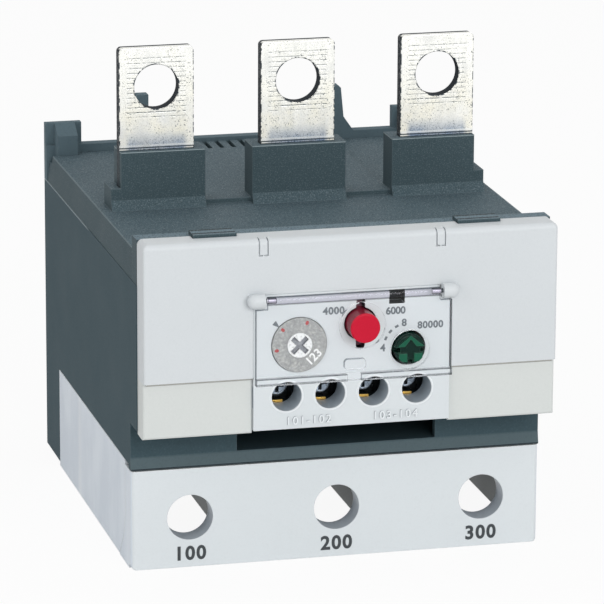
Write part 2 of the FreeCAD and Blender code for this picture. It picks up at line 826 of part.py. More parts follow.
def control_insert():
    half = "insert_width / 2"
    rear = "front + insert_recess + insert_thick"
    upper = block((f"-{half}", half), ("front + insert_recess", rear), ("fascia_step", "insert_top"))
    lower = block((f"-{half}", half), ("front", rear), ("insert_bottom", "fascia_step"))
    flange = block(("-flange_half", "flange_half"), (rear, f"{rear} + flange_thick"),
                   ("flange_low", "flange_high"))
    barrel_outer = "aux_hole + aux_barrel_wall"
    barrels = [rod("Y", (x, "aux_z"), (rear, "front + aux_barrel_end"), barrel_outer) for x in AUX_POSITIONS]
    rims = [rod("Y", (x, "aux_z"), ("front - aux_rim_tall", "front + insert_thick"), "aux_hole + aux_rim")
            for x in AUX_POSITIONS]
    rail_low = "flag_z - flag_plate_tall / 2 - flag_rail - flange_thick"
    rail = block(around("flag_x", "flag_plate_half"),
                 (f"{rear} + flange_thick", "front + flag_front + flag_thick"),
                 (rail_low, f"{rail_low} + flange_thick"))
    solid = fuse(upper, lower, flange, rail, *barrels, *rims)
    through = ("front - aux_rim_tall", "front + aux_barrel_end")
    tools = [rod("Y", (x, "aux_z"), through, "aux_hole") for x in AUX_POSITIONS]
    tools.append(rod("Y", ("dial_x", "dial_z"), through, "dial_round + dial_gap"))
    tools.append(rod("Y", ("button_x", "button_z"), through, "button_round + button_gap"))
    tools.append(rod("Y", ("knob_x", "knob_z"), through, "knob_round + knob_gap"))
    reach = "(keyway_reach - keyway_width / 2)"
    tools.append(block(around("button_x", "keyway_width / 2"), through,
                       around("button_z", reach)))
    tools += [rod("Y", ("button_x", z), through, "keyway_width / 2") for z in around("button_z", reach)]
    tools += both_sides(lambda sign: block(
        mirrored_span(sign, "boss_offset - boss_long - seam", "boss_offset + boss_neck"),
        ("front - aux_rim_tall", rear), ("boss_z - boss_round - seam", "boss_z + boss_round + seam")))
    tools.append(block(around("flag_x", "flag_window_width / 2"), through,
                       around("flag_z", "flag_window_tall / 2")))
    sub_part(cut(solid, *tools), "control_insert")


def flip_cover():
    half = "flip_width / 2"
    rod_half = "flip_rod_long / 2"
    plate_y = ("front + flip_front", "front + flip_front + flip_thick")
    shoulder = "boss_z - boss_round - flip_top_gap"
    panel = block((f"-{half}", half), plate_y, ("flip_low", shoulder))
    neck = block((f"-{rod_half}", rod_half), plate_y, (shoulder, "boss_z"))
    barrel = rod("X", (hinge_y(), "boss_z"), (f"-{rod_half}", rod_half), "flip_rod")
    lip_y = ("front + flip_front - flip_lip_rise", "front + flip_front")
    lips = both_sides(lambda sign: block(
        mirrored_span(sign, "flip_lip_gap / 2", half), lip_y, ("flip_low", "flip_low + flip_lip_tall")))
    grip = block(("-flip_grip_width / 2", "flip_grip_width / 2"),
                 ("front + flip_front - flip_grip_rise", "front + flip_front"),
                 around("flip_grip_z", "flip_grip_tall / 2"))
    grip = soften(grip, "flip_grip_round", lambda edge: is_straight(edge, "y"))
    bores = both_sides(lambda sign: rod(
        "X", (hinge_y(), "boss_z"), mirrored_span(sign, f"{rod_half} - flip_pin_deep", rod_half),
        "flip_pin + flip_pin_gap"))
    through = ("front + flip_front - flip_lip_rise", plate_y[1])
    holes = [rod("Y", ("button_x", "button_z"), through, "flip_hole"),
             rod("Y", ("knob_x", "knob_z"), through, "flip_knob_hole")]
    sub_part(cut(fuse(panel, neck, barrel, grip, *lips), *holes, *bores), "flip_cover")


def cover_hinge_pins():
    inner = "flip_rod_long / 2 - flip_pin_deep + seam"
    pins = both_sides(lambda sign: rod(
        "X", (hinge_y(), "boss_z"), mirrored_span(sign, inner, "boss_offset"), "flip_pin"))
    sub_part(group(*pins), "cover_hinge_pins")


def setting_dial():
    face = "front"
    body, _ = turned_along_y("SettingDial", "dial_x", "dial_z", [
        ("0", f"{face} - dial_hub_rise"), ("dial_hub", f"{face} - dial_hub_rise"), ("dial_hub", face),
        ("dial_round", face), ("dial_round", "front + dial_thick"), ("dial_shaft", "front + dial_thick"),
        ("dial_shaft", "front + cam_start + cam_thick"), ("0", "front + cam_start + cam_thick")])
    for sign in (-1, 1):
        arm = sketch(body, "XZ_Plane", ("dial_x", "dial_z", "-(front - dial_hub_rise)"))
        near = f"({DIAGONAL} * (dial_cross_long - dial_cross_wide) / 2)"
        far = f"({DIAGONAL} * (dial_cross_long + dial_cross_wide) / 2)"
        corners = [(near, far), (f"-{far}", f"-{near}"), (f"-{near}", f"-{far}"), (far, near)]
        outline(arm, [(x, f"{sign} * {z}") for x, z in corners])
        pocket(body, arm, "dial_cross_deep")
    cam = sketch(body, "XZ_Plane", ("dial_x", "dial_z", "-(front + cam_start + cam_thick)"))
    ring(cam, "cam_offset", "0", "cam_round")
    pad(body, cam, "cam_thick")
    sub_part(body, "setting_dial")


def stop_button():
    tip = "front - button_reach"
    body, _ = turned_along_y("StopButton", "button_x", "button_z", [
        ("0", tip), ("button_round", tip), ("button_round", "front + button_back"),
        ("button_stem", "front + button_back"), ("button_stem", "front + button_stem_end"),
        ("0", "front + button_stem_end")])
    keys = sketch(body, "XZ_Plane", ("button_x", "button_z", "-(front + button_back)"))
    outline(keys, rectangle(("-button_key_width / 2", "button_key_width / 2"),
                            ("-button_key_reach", "button_key_reach")))
    last = pad(body, keys, "button_back - button_key_front")
    dress(body, "Fillet", last, "button_edge",
          lambda edge: edge.Curve.TypeId == "Part::GeomCircle" and lies_at(edge, "Y", tip))
    sub_part(body, "stop_button")


def coil(label, x, z, start, end, radius):
    """A compression spring round a stem along Y: a helix with its ends on the two seats.

    It is a Part::Feature, because a swept helix is neither a body nor a primitive.
    """
    wire_radius = size("coil_wire")
    first = size(start) + wire_radius
    last = size(end) - wire_radius
    pitch = (last - first) / size("coil_turns")
    helix = Part.makeHelix(pitch, last - first, size(radius))
    circle = Part.makeCircle(wire_radius, Vector(size(radius), 0, 0), Vector(0, 1, 0))
    spring = Part.Wire(helix.Edges).makePipeShell([Part.Wire([circle])], True, False)
    item = doc.addObject("Part::Feature", "Coil")
    item.Shape = spring
    item.Placement = Placement(Vector(size(x), first, size(z)), ALONG["Y"])
    sub_part(item, label)


def reset_plunger():
    face = "front + knob_face + knob_thick"
    body, _ = turned_along_y("ResetPlunger", "knob_x", "knob_z", [
        ("0", f"{face} - plunger_socket"), ("plunger_round", f"{face} - plunger_socket"),
        ("plunger_round", f"{face} + seam"), ("plunger_collar", f"{face} + seam"),
        ("plunger_collar", f"{face} + seam + plunger_collar_thick"),
        ("plunger_round", f"{face} + seam + plunger_collar_thick"), ("plunger_round", "front + plunger_end"),
        ("0", "front + plunger_end")])
    sub_part(body, "reset_plunger")


def reset_knob():
    """A cap through the flip cover, with a raised arrowhead and two pads round its cross slot."""
    face = "front + knob_face"
    rear = f"{face} + knob_thick"
    body, base = turned_along_y("ResetKnob", "knob_x", "knob_z", [
        ("0", face), ("knob_round", face), ("knob_round", rear), ("plunger_round + pivot_gap", rear),
        ("plunger_round + pivot_gap", f"{rear} - plunger_socket - pivot_gap"),
        ("0", f"{rear} - plunger_socket - pivot_gap")])
    dress(body, "Fillet", base, "knob_edge",
          lambda edge: edge.Curve.TypeId == "Part::GeomCircle" and lies_at(edge, "Y", face))
    place = ("knob_x", "knob_z", f"-({face})")
    low = "knob_slot / 2"
    arrow = sketch(body, "XZ_Plane", place)
    outline(arrow, [("0", "knob_arrow_top"), ("-knob_arrow_half", low), ("-knob_arrow_inner_half", low),
                    ("0", "knob_arrow_inner_top"), ("knob_arrow_inner_half", low), ("knob_arrow_half", low)])
    pad(body, arrow, "knob_arrow_rise")
    far = "(knob_slot / 2 + knob_pad_side)"
    for sign in (-1, 1):
        foot = sketch(body, "XZ_Plane", place)
        outline(foot, [(f"{sign} * {low}", f"-{low}"), (f"{sign} * {low}", f"-{far}"),
                       (f"{sign} * {far} * knob_pad_bevel", f"-{far}"),
                       (f"{sign} * {far}", f"-{far} * knob_pad_bevel"), (f"{sign} * {far}", f"-{low}")])
        pad(body, foot, "knob_arrow_rise")
    rim = ("knob_round - knob_notch_long", "knob_round + seam")
    across = ("-knob_notch_width / 2", "knob_notch_width / 2")
    far_rim = (f"-({rim[1]})", f"-({rim[0]})")
    for x, z in ((across, far_rim), (rim, across), (far_rim, across)):
        notch = sketch(body, "XZ_Plane", place)
        outline(notch, rectangle(x, z))
        pocket(body, notch, "knob_notch_deep")
    sub_part(body, "reset_knob")


def trip_flag():
    """The indicator behind the small window, with a tail that the lever's front arm pushes."""
    plate_y = ("front + flag_front", "front + flag_front + flag_thick")
    panel = block(around("flag_x", "flag_plate_half"), plate_y, around("flag_z", "flag_plate_tall / 2"))
    tail_right = f"{PIVOT_X} - flag_arm_thick / 2 - flag_tail_gap"
    reach = block(("flag_x", tail_right), plate_y, around("flag_z", "flag_tail_half"))
    tail = block((f"{tail_right} - flag_tail_thick", tail_right),
                 ("front + flag_front", "front + flag_tail_end"), around("flag_z", "flag_tail_half"))
    sub_part(fuse(panel, reach, tail), "trip_flag")


def guide_plate():
    body, _ = plate("GuidePlate", rectangle(("-guide_half", "guide_half"), ("guide_low", "guide_high")),
                    "front + guide_y", "guide_thick",
                    [("dial_x", "dial_z", "dial_shaft + shaft_gap"),
                     ("button_x", "button_z", "button_stem + shaft_gap"),
                     ("knob_x", "knob_z", "plunger_round + shaft_gap")])
    legs = both_sides(lambda sign: block(
        mirrored_span(sign, "guide_half - guide_thick", "guide_half"),
        ("front + guide_y + guide_thick", "front + inner_wall_y"), ("guide_low", "guide_high")))
    sub_part(fuse(body, *legs), "guide_plate")


def mechanism_wall():
    half = f"({SIDE} - housing_wall - inner_wall_gap)"
    panel = block((f"-{half}", half),
                  ("front + inner_wall_y", "front + inner_wall_y + inner_wall_thick"),
                  ("deck_z + deck_thick + seam", "inner_wall_top"))
    arm_low = "partition_top + slider_step + slider_thick"
    window = block((f"{ARM_X} - arm_window_left", f"{ARM_X} + arm_width + slider_travel + arm_window_right"),
                   ("front + inner_wall_y", "front + inner_wall_y + inner_wall_thick"),
                   (arm_low, f"{arm_low} + slider_thick + arm_window_rise"))
    lugs = [block(around(PIVOT_X, "lug_half"), ("front + lug_front", "front + inner_wall_y"),
                  (low, f"{low} + lug_thick")) for low in ("lug_low", "lug_high")]
    bore = rod("Z", (PIVOT_X, "front + pivot_y"), ("lug_low", "lug_high + lug_thick"), "pivot_pin")
    sub_part(cut(fuse(panel, *lugs), window, bore), "mechanism_wall")


def lever_pin():
    body = new_body("LeverPin")
    profile = sketch(body, "XZ_Plane", (PIVOT_X, "0", "-(front + pivot_y)"))
    outline(profile, rectangle(("0", "pivot_pin"), ("lug_low", "lug_high + lug_thick")))
    turn(body, profile, "V_Axis")
    sub_part(body, "lever_pin")


def trip_lever():
    centre = (PIVOT_X, "front + pivot_y")
    low = "lug_low + lug_thick + seam"
    high = "lug_high - seam"
    hub = rod("Z", centre, (low, high), "pivot_boss")
    arm = block((f"{PIVOT_X} - lever_arm", PIVOT_X),
                ("front + pivot_y - lever_thick / 2", "front + pivot_y + lever_thick / 2"),
                ("lever_low", "lever_low + lever_tall"))
    flag_arm = block(around(PIVOT_X, "flag_arm_thick / 2"),
                     ("front + flag_arm_end", "front + pivot_y"),
                     around("flag_z", "flag_arm_half"))
    bore = rod("Z", centre, (low, high), "pivot_pin + pivot_gap")
    sub_part(cut(fuse(hub, arm, flag_arm), bore, strip_blade()), "trip_lever")


def strip_blade():
    """The blade that stands in a slot of the lever's hub and reaches back to the slider's arm."""
    arm_low = "partition_top + slider_step + slider_thick"
    return block(around(PIVOT_X, "strip_thick / 2"),
                 ("front + pivot_y + pivot_boss - strip_root", "front + strip_reach"),
                 (f"{arm_low} - strip_hang", f"{arm_low} + slider_thick"))


def compensating_strip():
    sub_part(strip_blade(), "compensating_strip")


def slider(label, low, with_arm):
    """A bar across the three poles, with a window for each bimetal's tip."""
    half = f"({PITCH} + slider_end)"
    y = ("front + slider_y", "front + slider_y + slider_wide")
    z = (low, f"{low} + slider_thick")
    bar = block((f"-{half}", half), y, z)
    if with_arm:
        bar = fuse(bar, block((ARM_X, f"{ARM_X} + arm_width"), ("front + arm_end", "front + slider_y"), z))
    window_y = ("front + bimetal_y - slider_window_gap",
                "front + bimetal_y + bimetal_wide + slider_window_gap")
    windows = [block((f"{x} - bimetal_thick / 2 - slider_travel - slider_window_gap",
                      f"{x} + bimetal_thick / 2 + slider_window_gap"), window_y, z) for x in POLES.values()]
    sub_part(cut(bar, *windows), label)


def line_bar(name, x):
    half = "bar_width / 2"
    body, base = plate(f"LineBar_{name}", rectangle(around(x, half), ("bar_bottom", "bar_top")),
                       "front + bar_front", "bar_thick", [(x, "bar_top - bar_hole_drop", "bar_hole")])
    dress(body, "Fillet", base, "bar_corner",
          lambda edge: is_straight(edge, "y") and lies_at(edge, "Z", "bar_top"))
    sub_part(body, f"line_bar_{name}")


def load_bar(name, x):
    half = "load_width / 2"
    body, _ = plate(f"LoadBar_{name}", rectangle(around(x, half), ("load_bottom", "load_top")),
                    "front + load_front", "load_thick", [(x, "load_z", "load_hole")])
    sub_part(body, f"load_bar_{name}")


def heater(name, x):
    """A flat strip folded to and fro between the line bar and the load bar."""
    pitch = "((heater_top - heater_bottom - heater_foot * 2) / (heater_turns * 2))"
    rows = []
    count = int(size("heater_turns")) * 2
    y = ("front + heater_front", "front + heater_front + heater_thick")
    for n in range(count):
        low = f"heater_bottom + heater_foot + {n} * {pitch}"
        rows.append(block(around(x, "heater_half"), y,
                          (low, f"{low} + {pitch} * heater_share")))
        side = (f"{x} + heater_half - heater_strip", f"{x} + heater_half")
        if n % 2:
            side = (f"{x} - heater_half", f"{x} - heater_half + heater_strip")
        rows.append(block(side, y, (low, f"{low} + {pitch}")))
    upper = block(around(x, "heater_half"),
                  ("front + bar_front + bar_thick", "front + heater_front + heater_thick"),
                  ("heater_top - heater_foot", "heater_top"))
    lower = block(around(x, "heater_half"), ("front + heater_front", "front + load_front"),
                  ("heater_bottom", "heater_bottom + heater_foot"))
    sub_part(fuse(upper, lower, *rows), f"heater_{name}")


def bimetal(name, x):
    """An upright bimetal blade on a foot fixed to the back of the load bar."""
    foot = block(around(x, "bimetal_foot_half"),
                 ("front + load_front + load_thick", "front + bimetal_y + bimetal_wide"),
                 ("bimetal_foot_z", "bimetal_foot_z + bimetal_foot_tall"))
    blade = block(around(x, "bimetal_thick / 2"),
                  ("front + bimetal_y", "front + bimetal_y + bimetal_wide"),
                  ("bimetal_foot_z", "bimetal_top"))
    sub_part(fuse(foot, blade), f"bimetal_{name}")


def load_screws():
    screws = []
    for name, x in POLES.items():
        seat = "front + load_front"
        face = f"{seat} - screw_head_tall"
        end = f"{seat} + screw_long"
        body, _ = turned_along_y(f"LoadScrew_{name}", x, "load_z", [
            ("0", face), ("screw_head", face), ("screw_head", seat),
            ("screw_shank", seat), ("screw_shank", end), ("0", end)])
        socket = sketch(body, "XZ_Plane", (x, "load_z", f"-({face})"))
        corners = [math.radians(60 * n) for n in range(6)]
        outline(socket, [(f"screw_socket * {math.cos(a):.6f}", f"screw_socket * {math.sin(a):.6f}")
                         for a in corners])
        pocket(body, socket, "screw_socket_deep")
        screws.append(body)
    sub_part(group(*screws), "load_screws")


def load_nuts():
    nuts = []
    for name, x in POLES.items():
        half = "nut_side / 2"
        body, _ = plate(f"LoadNut_{name}", rectangle(around(x, half),
                                                     around("load_z", half)),
                        "front + load_front + load_thick", "nut_thick",
                        [(x, "load_z", "screw_shank + thread_gap")])
        nuts.append(body)
    sub_part(group(*nuts), "load_nuts")


def aux_screws():
    screws = []
    for x in AUX_POSITIONS:
        head = "front + aux_head_front"
        neck = f"{head} + aux_head_tall"
        body, _ = turned_along_y("AuxScrew", x, "aux_z", [
            ("0", head), ("aux_head_crown", head), ("aux_head", f"{head} + aux_head_rim"),
            ("aux_head", neck), ("aux_shank", neck), ("aux_shank", "front + aux_screw_end"),
            ("0", "front + aux_screw_end")])
        for wide, tall in (("aux_cross_long / 2", "aux_cross / 2"), ("aux_cross / 2", "aux_cross_long / 2")):
            arm = sketch(body, "XZ_Plane", (x, "aux_z", f"-({head})"))
            outline(arm, rectangle((f"-({wide})", wide), (f"-({tall})", tall)))
            pocket(body, arm, "aux_cross_deep")
        screws.append(body)
    sub_part(group(*screws), "aux_screws")


def aux_plates():
    """Brass clamp plates, each with a lip that reaches forward under the left of the screw head."""
    plates = []
    rest = "front + aux_head_front + aux_head_tall"
    for x in AUX_POSITIONS:
        depth = (rest, f"{rest} + aux_plate_thick")
        upright = block(around(x, "aux_plate_half"), depth, ("aux_plate_low", "aux_z + aux_plate_half"))
        lip = block((f"{x} - aux_plate_half", f"{x} + aux_lip_right"), ("front + aux_plate_front", rest),
                    ("aux_plate_low", "aux_plate_low + aux_lip_thick"))
        hole = rod("Y", (x, "aux_z"), depth, "aux_shank + thread_gap")
        plates.append(cut(fuse(upright, lip), hole))
    sub_part(group(*plates), "aux_plates")


def aux_block():
    """The dark moulding that the four auxiliary terminals are screwed into."""
    start = "front + aux_head_front + aux_head_tall + aux_plate_thick"
    base = block(("-aux_block_half", "aux_block_half"), (start, "front + aux_block_back"),
                 ("aux_block_low", "contact_low - seam"))
    shelf = block(("-aux_block_half", "aux_block_half"), ("front + aux_plate_front", start),
                  ("aux_block_low", "aux_plate_low"))
    fins = [block((f"{n} * aux_pitch - partition_thick / 2", f"{n} * aux_pitch + partition_thick / 2"),
                  ("front + aux_barrel_end + seam", start), ("aux_block_low", "aux_z + aux_plate_half"))
            for n in (-1, 0, 1)]
    bores = [rod("Y", (x, "aux_z"), (start, "front + aux_block_back"), "aux_shank + thread_gap")
             for x in AUX_POSITIONS]
    tail = block(("-aux_block_half", "aux_block_half"), ("front + aux_block_back", "front + inner_wall_y"),
                 ("aux_block_low", "aux_block_low + housing_wall"))
    sub_part(cut(fuse(base, shelf, tail, *fins), *bores), "aux_block")


def fixed_contacts(label, positions, stand, tip_side):
    """Two spring-brass strips on the auxiliary block, each with a silver tip."""
    strips = []
    for x in positions:
        span = around(x, "contact_width / 2")
        rest = "front + aux_head_front + aux_head_tall + aux_plate_thick"
        run = block(span, (rest, f"{stand} + contact_thick"), ("contact_low", "contact_low + contact_thick"))
        post = block(span, (stand, f"{stand} + contact_thick"), ("contact_low", "contact_high"))
        tip_span = (f"{stand} + contact_thick", f"{stand} + contact_thick + contact_tip_tall")
        if tip_side < 0:
            tip_span = (f"{stand} - contact_tip_tall", stand)
        tip = rod("Y", (x, "contact_z"), tip_span, "contact_tip")
        strips.append(fuse(run, post, tip))
    sub_part(group(*strips), label)


NC_STAND = "(front + carrier_y - contact_tip_tall * 2 - contact_air - contact_thick)"
NC_BRIDGE = "(front + carrier_y)"
NO_BRIDGE = "(front + carrier_y + carrier_deep - contact_thick)"
NO_STAND = "(front + carrier_y + carrier_deep + contact_tip_tall * 2 + contact_air + slider_travel)"


def bridge(label, centre, face, tip_side):
    """A moving contact bridge hung under the carrier, with a tip at each end."""
    half = "(aux_pitch / 2 + contact_width / 2)"
    bar = block(around(centre, half), (face, f"{face} + contact_thick"),
                ("contact_z - bridge_reach", "carrier_low"))
    tip_span = (f"{face} - contact_tip_tall", face)
    if tip_side > 0:
        tip_span = (f"{face} + contact_thick", f"{face} + contact_thick + contact_tip_tall")
    tips = [rod("Y", (x, "contact_z"), tip_span, "contact_tip") for x in around(centre, "aux_pitch / 2")]
    sub_part(fuse(bar, *tips), label)


def contact_carrier():
    bar = block(("-carrier_half", "carrier_half"), ("front + carrier_y", "front + carrier_y + carrier_deep"),
                ("carrier_low", "carrier_low + carrier_tall"))
    rear_of_arm = "front + pivot_y + lever_thick / 2 + lug_gap"
    lug = block((f"{PIVOT_X} - lever_arm", "carrier_half"), (rear_of_arm, f"{rear_of_arm} + lever_thick"),
                ("carrier_low + carrier_tall", "lever_low + lever_tall"))
    sub_part(fuse(bar, lug), "contact_carrier")


def lower_cover():
    half = SIDE
    rear = "front + cover_front + cover_wall"
    front_wall = block((f"-{half}", half), ("front + cover_front", rear), ("0", "cover_top"))
    front_wall = soften(front_wall, "cover_round", lambda edge: (
        is_straight(edge, "z") and lies_at(edge, "Y", "front + cover_front")
        or is_straight(edge, "y") and lies_at(edge, "Z", "0")))

    def side_return(sign):
        span = mirrored_span(sign, f"{half} - cover_side_wall", half)
        return prism([(rear, "0"), (rear, "cover_top"), ("front + cover_return", "cover_top"),
                      ("front + cover_return", "cover_return_bend"),
                      ("front + cover_return_knee", "cover_return_knee_z"),
                      ("front + cover_return_low", "0")], span)

    barrels = [rod("Y", (x, "load_z"), (rear, "front + cover_barrel_end"), "cover_hole + cover_barrel_wall")
               for x in COVER_HOLES]
    holes = [rod("Y", (x, "load_z"), ("front + cover_front", "front + cover_barrel_end"), "cover_hole")
             for x in COVER_HOLES]
    shell = fuse(front_wall, *both_sides(side_return), *barrels)
    sub_part(cut(shell, *holes), "lower_cover")


def terminal_shroud():
    half = SIDE
    inner = f"({half} - cover_side_wall)"
    top = "deck_z - seam"
    depth = ("front + shroud_partition_front", "front + shroud_back")

    def side(sign):
        span = mirrored_span(sign, inner, half)
        return prism([("front + cover_return + seam", top), ("front + shroud_back", top),
                      ("front + shroud_back", "shroud_low"),
                      ("front + cover_return_low + seam", "shroud_low"),
                      ("front + cover_return_knee + seam", "cover_return_knee_z"),
                      ("front + cover_return + seam", "cover_return_bend")], span)

    lid = block((f"-{inner}", inner), depth, (f"{top} - shroud_top_thick", top))
    wall = (f"{COVER_PITCH} / 2", f"({COVER_PITCH} / 2 - chamber_half - partition_thick / 2)")
    walls = [block(around(f"{sign}({x})", "partition_thick / 2"), depth, ("shroud_low", top))
             for sign in ("", "-") for x in around(*wall)]
    slots = load_slots((f"{top} - shroud_top_thick", top))
    sub_part(cut(fuse(lid, *walls, *both_sides(side)), *slots), "terminal_shroud")


def build():
    rear_housing()
    top_cover()
    fascia()
    control_insert()
    flip_cover()
    cover_hinge_pins()
    setting_dial()
    stop_button()
    seat = "front + guide_y - seam"
    coil("stop_spring", "button_x", "button_z", "front + button_back + seam", seat,
         "button_stem + coil_wire + coil_clearance")
    reset_plunger()
    reset_knob()
    coil("reset_spring", "knob_x", "knob_z",
         "front + knob_face + knob_thick + seam + plunger_collar_thick + seam", seat,
         "plunger_round + coil_wire + coil_clearance")
    trip_flag()
    guide_plate()
    mechanism_wall()
    lever_pin()
    trip_lever()
    compensating_strip()
    lower_slider = "partition_top + slider_step"
    slider("return_slider", lower_slider, False)
    slider("trip_slider", f"{lower_slider} + slider_thick + slider_step", True)
    for name, x in POLES.items():
        line_bar(name, x)
        load_bar(name, x)
        heater(name, x)
        bimetal(name, x)
    load_screws()
    load_nuts()
    aux_block()
    aux_screws()
    aux_plates()
    fixed_contacts("nc_contacts", AUX_POSITIONS[:2], NC_STAND, 1)
    fixed_contacts("no_contacts", AUX_POSITIONS[2:], NO_STAND, -1)
    bridge("nc_bridge", "(-aux_pitch)", NC_BRIDGE, -1)
    bridge("no_bridge", "aux_pitch", NO_BRIDGE, 1)
    contact_carrier()
    lower_cover()
    terminal_shroud()


def check_and_write():
    doc.recompute()
    for item in doc.Objects:
        if "Invalid" in item.State or "Error" in item.State:
            raise RuntimeError(f"{item.Name} ({item.Label}) failed: {item.State}")
    for item in sub_parts:
        if item.Shape.isNull() or not item.Shape.isValid() or not item.Shape.Solids:
            raise RuntimeError(f"{item.Label} has no valid solid")
        item.Shape.exportStep(f"parts/{item.Label}.step")
        print(f"{item.Label}: {len(item.Shape.Solids)} solids, {item.Shape.Volume:.1f} mm3")


build()
check_and_write()
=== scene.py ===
import json
import math

import bmesh
import bpy
from mathutils import Matrix, Vector


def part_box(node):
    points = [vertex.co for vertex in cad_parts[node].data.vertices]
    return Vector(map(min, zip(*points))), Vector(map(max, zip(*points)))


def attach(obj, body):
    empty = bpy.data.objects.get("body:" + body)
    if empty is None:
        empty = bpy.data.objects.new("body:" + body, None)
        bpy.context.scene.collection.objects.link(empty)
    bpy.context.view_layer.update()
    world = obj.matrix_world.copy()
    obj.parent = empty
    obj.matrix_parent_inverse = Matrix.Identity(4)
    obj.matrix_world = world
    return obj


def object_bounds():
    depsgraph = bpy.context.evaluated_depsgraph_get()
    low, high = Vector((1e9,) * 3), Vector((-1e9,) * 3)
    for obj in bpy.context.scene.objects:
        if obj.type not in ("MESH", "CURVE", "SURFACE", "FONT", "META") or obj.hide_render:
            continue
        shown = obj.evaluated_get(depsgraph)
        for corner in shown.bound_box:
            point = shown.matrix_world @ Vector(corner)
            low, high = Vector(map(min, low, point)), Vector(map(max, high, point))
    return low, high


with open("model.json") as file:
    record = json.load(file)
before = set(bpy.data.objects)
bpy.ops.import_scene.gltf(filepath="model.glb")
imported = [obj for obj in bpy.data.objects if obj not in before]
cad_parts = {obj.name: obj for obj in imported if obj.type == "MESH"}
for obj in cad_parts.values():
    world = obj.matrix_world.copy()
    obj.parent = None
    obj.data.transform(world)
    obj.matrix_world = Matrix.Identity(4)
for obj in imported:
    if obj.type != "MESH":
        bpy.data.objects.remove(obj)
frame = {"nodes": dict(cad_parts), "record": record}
cad_low, cad_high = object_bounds()

MM = 0.001

# sizes and places of the solids and of the marks on them, in metres

# front, insert and fascia
BUTTON_REACH = 4.3 * MM
INSERT_RECESS = 0.4 * MM
LOWER_PANEL_STEP = 1.15 * MM
LIP_TALL = 0.7 * MM
PANEL_TOP = 13.05 * MM
KEYWAY = 6.2 * MM
BUTTON_FACE = 3.45 * MM
DIAL_HUB = 2.87 * MM
FLAG_WINDOW = 3.9 * MM
FLAG_OFFSET = 8.33 * MM

# housing: the strip over the lower cover, the painted highlight along the side walls' top edge, and the
# back wall
STRIP_DEEP = 13.5 * MM
FLARE_TOP = 3.1 * MM
EDGE_HIGHLIGHT_FROM = 6 * MM
BACK_WALL = 44.0 * MM

# lower cover
POLE_PITCH = 34.17 * MM
BORE_AXIS = 0.1 * MM
BORE_SHADE = 5.4 * MM
COVER_WALL = 1.95 * MM
COVER_FACE_THICK = 7.5 * MM
FLOW_LINE = (16 * MM, 19 * MM)

# auxiliary terminals
AUX_PITCH = 10.0 * MM
AUX_AXIS = 3.5 * MM
BARREL = 3.5 * MM
BARREL_RIM = 3.9 * MM
SCREW_CROSS = 1.8 * MM

# line bars
BAR_HOLE = 5.2 * MM
BAR_HOLE_DROP = 9.15 * MM
SERRATED = 16.2 * MM
SERRATION_PITCH = 1.15 * MM

# roof and its two clips
ROOF_DROP = 13.5 * MM
ROOF_HALF = 46.8 * MM
ROOF_LIGHT = (10 * MM, 26 * MM)
ROOF_LINE_FROM = 11 * MM
CLIP_AXIS = 30.35 * MM
CLIP_HALF = 4.9 * MM
CLIP_SLOT = (5.3 * MM, 6.2 * MM)
CLIP_END = 8.2 * MM
CLIP_BACK = 9.2 * MM

# clear cover and its pins
BUTTON_HOLE = 5.3 * MM
KNOB_HOLE = 4.5 * MM
COVER_LIP = 1.5 * MM
LIP_GAP_HALF = 1.6 * MM
HINGE_ROD = 1.8 * MM
CAP_INNER = 2.2 * MM

# half the thickness of printed ink
SKIN = 0.03 * MM


def srgb(r, g, b):
    """An sRGB colour of 0 to 255, as linear values."""
    out = []
    for c in (r, g, b):
        c /= 255
        out.append(c / 12.92 if c <= 0.04045 else ((c + 0.055) / 1.055) ** 2.4)
    return (*out, 1.0)


def shade(colour, factor, lift=0.0):
    """The colour made darker or paler."""
    return tuple(min(1.0, c * factor + lift) for c in colour[:3]) + (1.0,)


def front_middle(node):
    """The middle of a node's box in X and Z, and its front in Y."""
    low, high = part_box(node)
    return Vector(((low.x + high.x) / 2, low.y, (low.z + high.z) / 2))


DIAL = front_middle("setting_dial")
BUTTON = front_middle("stop_button")
KNOB = front_middle("reset_knob")
COVER = front_middle("lower_cover")
FRONT = BUTTON.y + BUTTON_REACH
INSERT_FACE = FRONT + INSERT_RECESS
PANEL_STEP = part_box("fascia")[0].z + PANEL_TOP
AUX_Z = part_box("aux_plates")[0].z + AUX_AXIS
SLEEVE_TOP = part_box("top_cover")[1].z
COVER_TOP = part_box("lower_cover")[1].z
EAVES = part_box("top_cover")[0].z
ROOF = SLEEVE_TOP - ROOF_DROP


# ---------------------------------------------------------------- materials


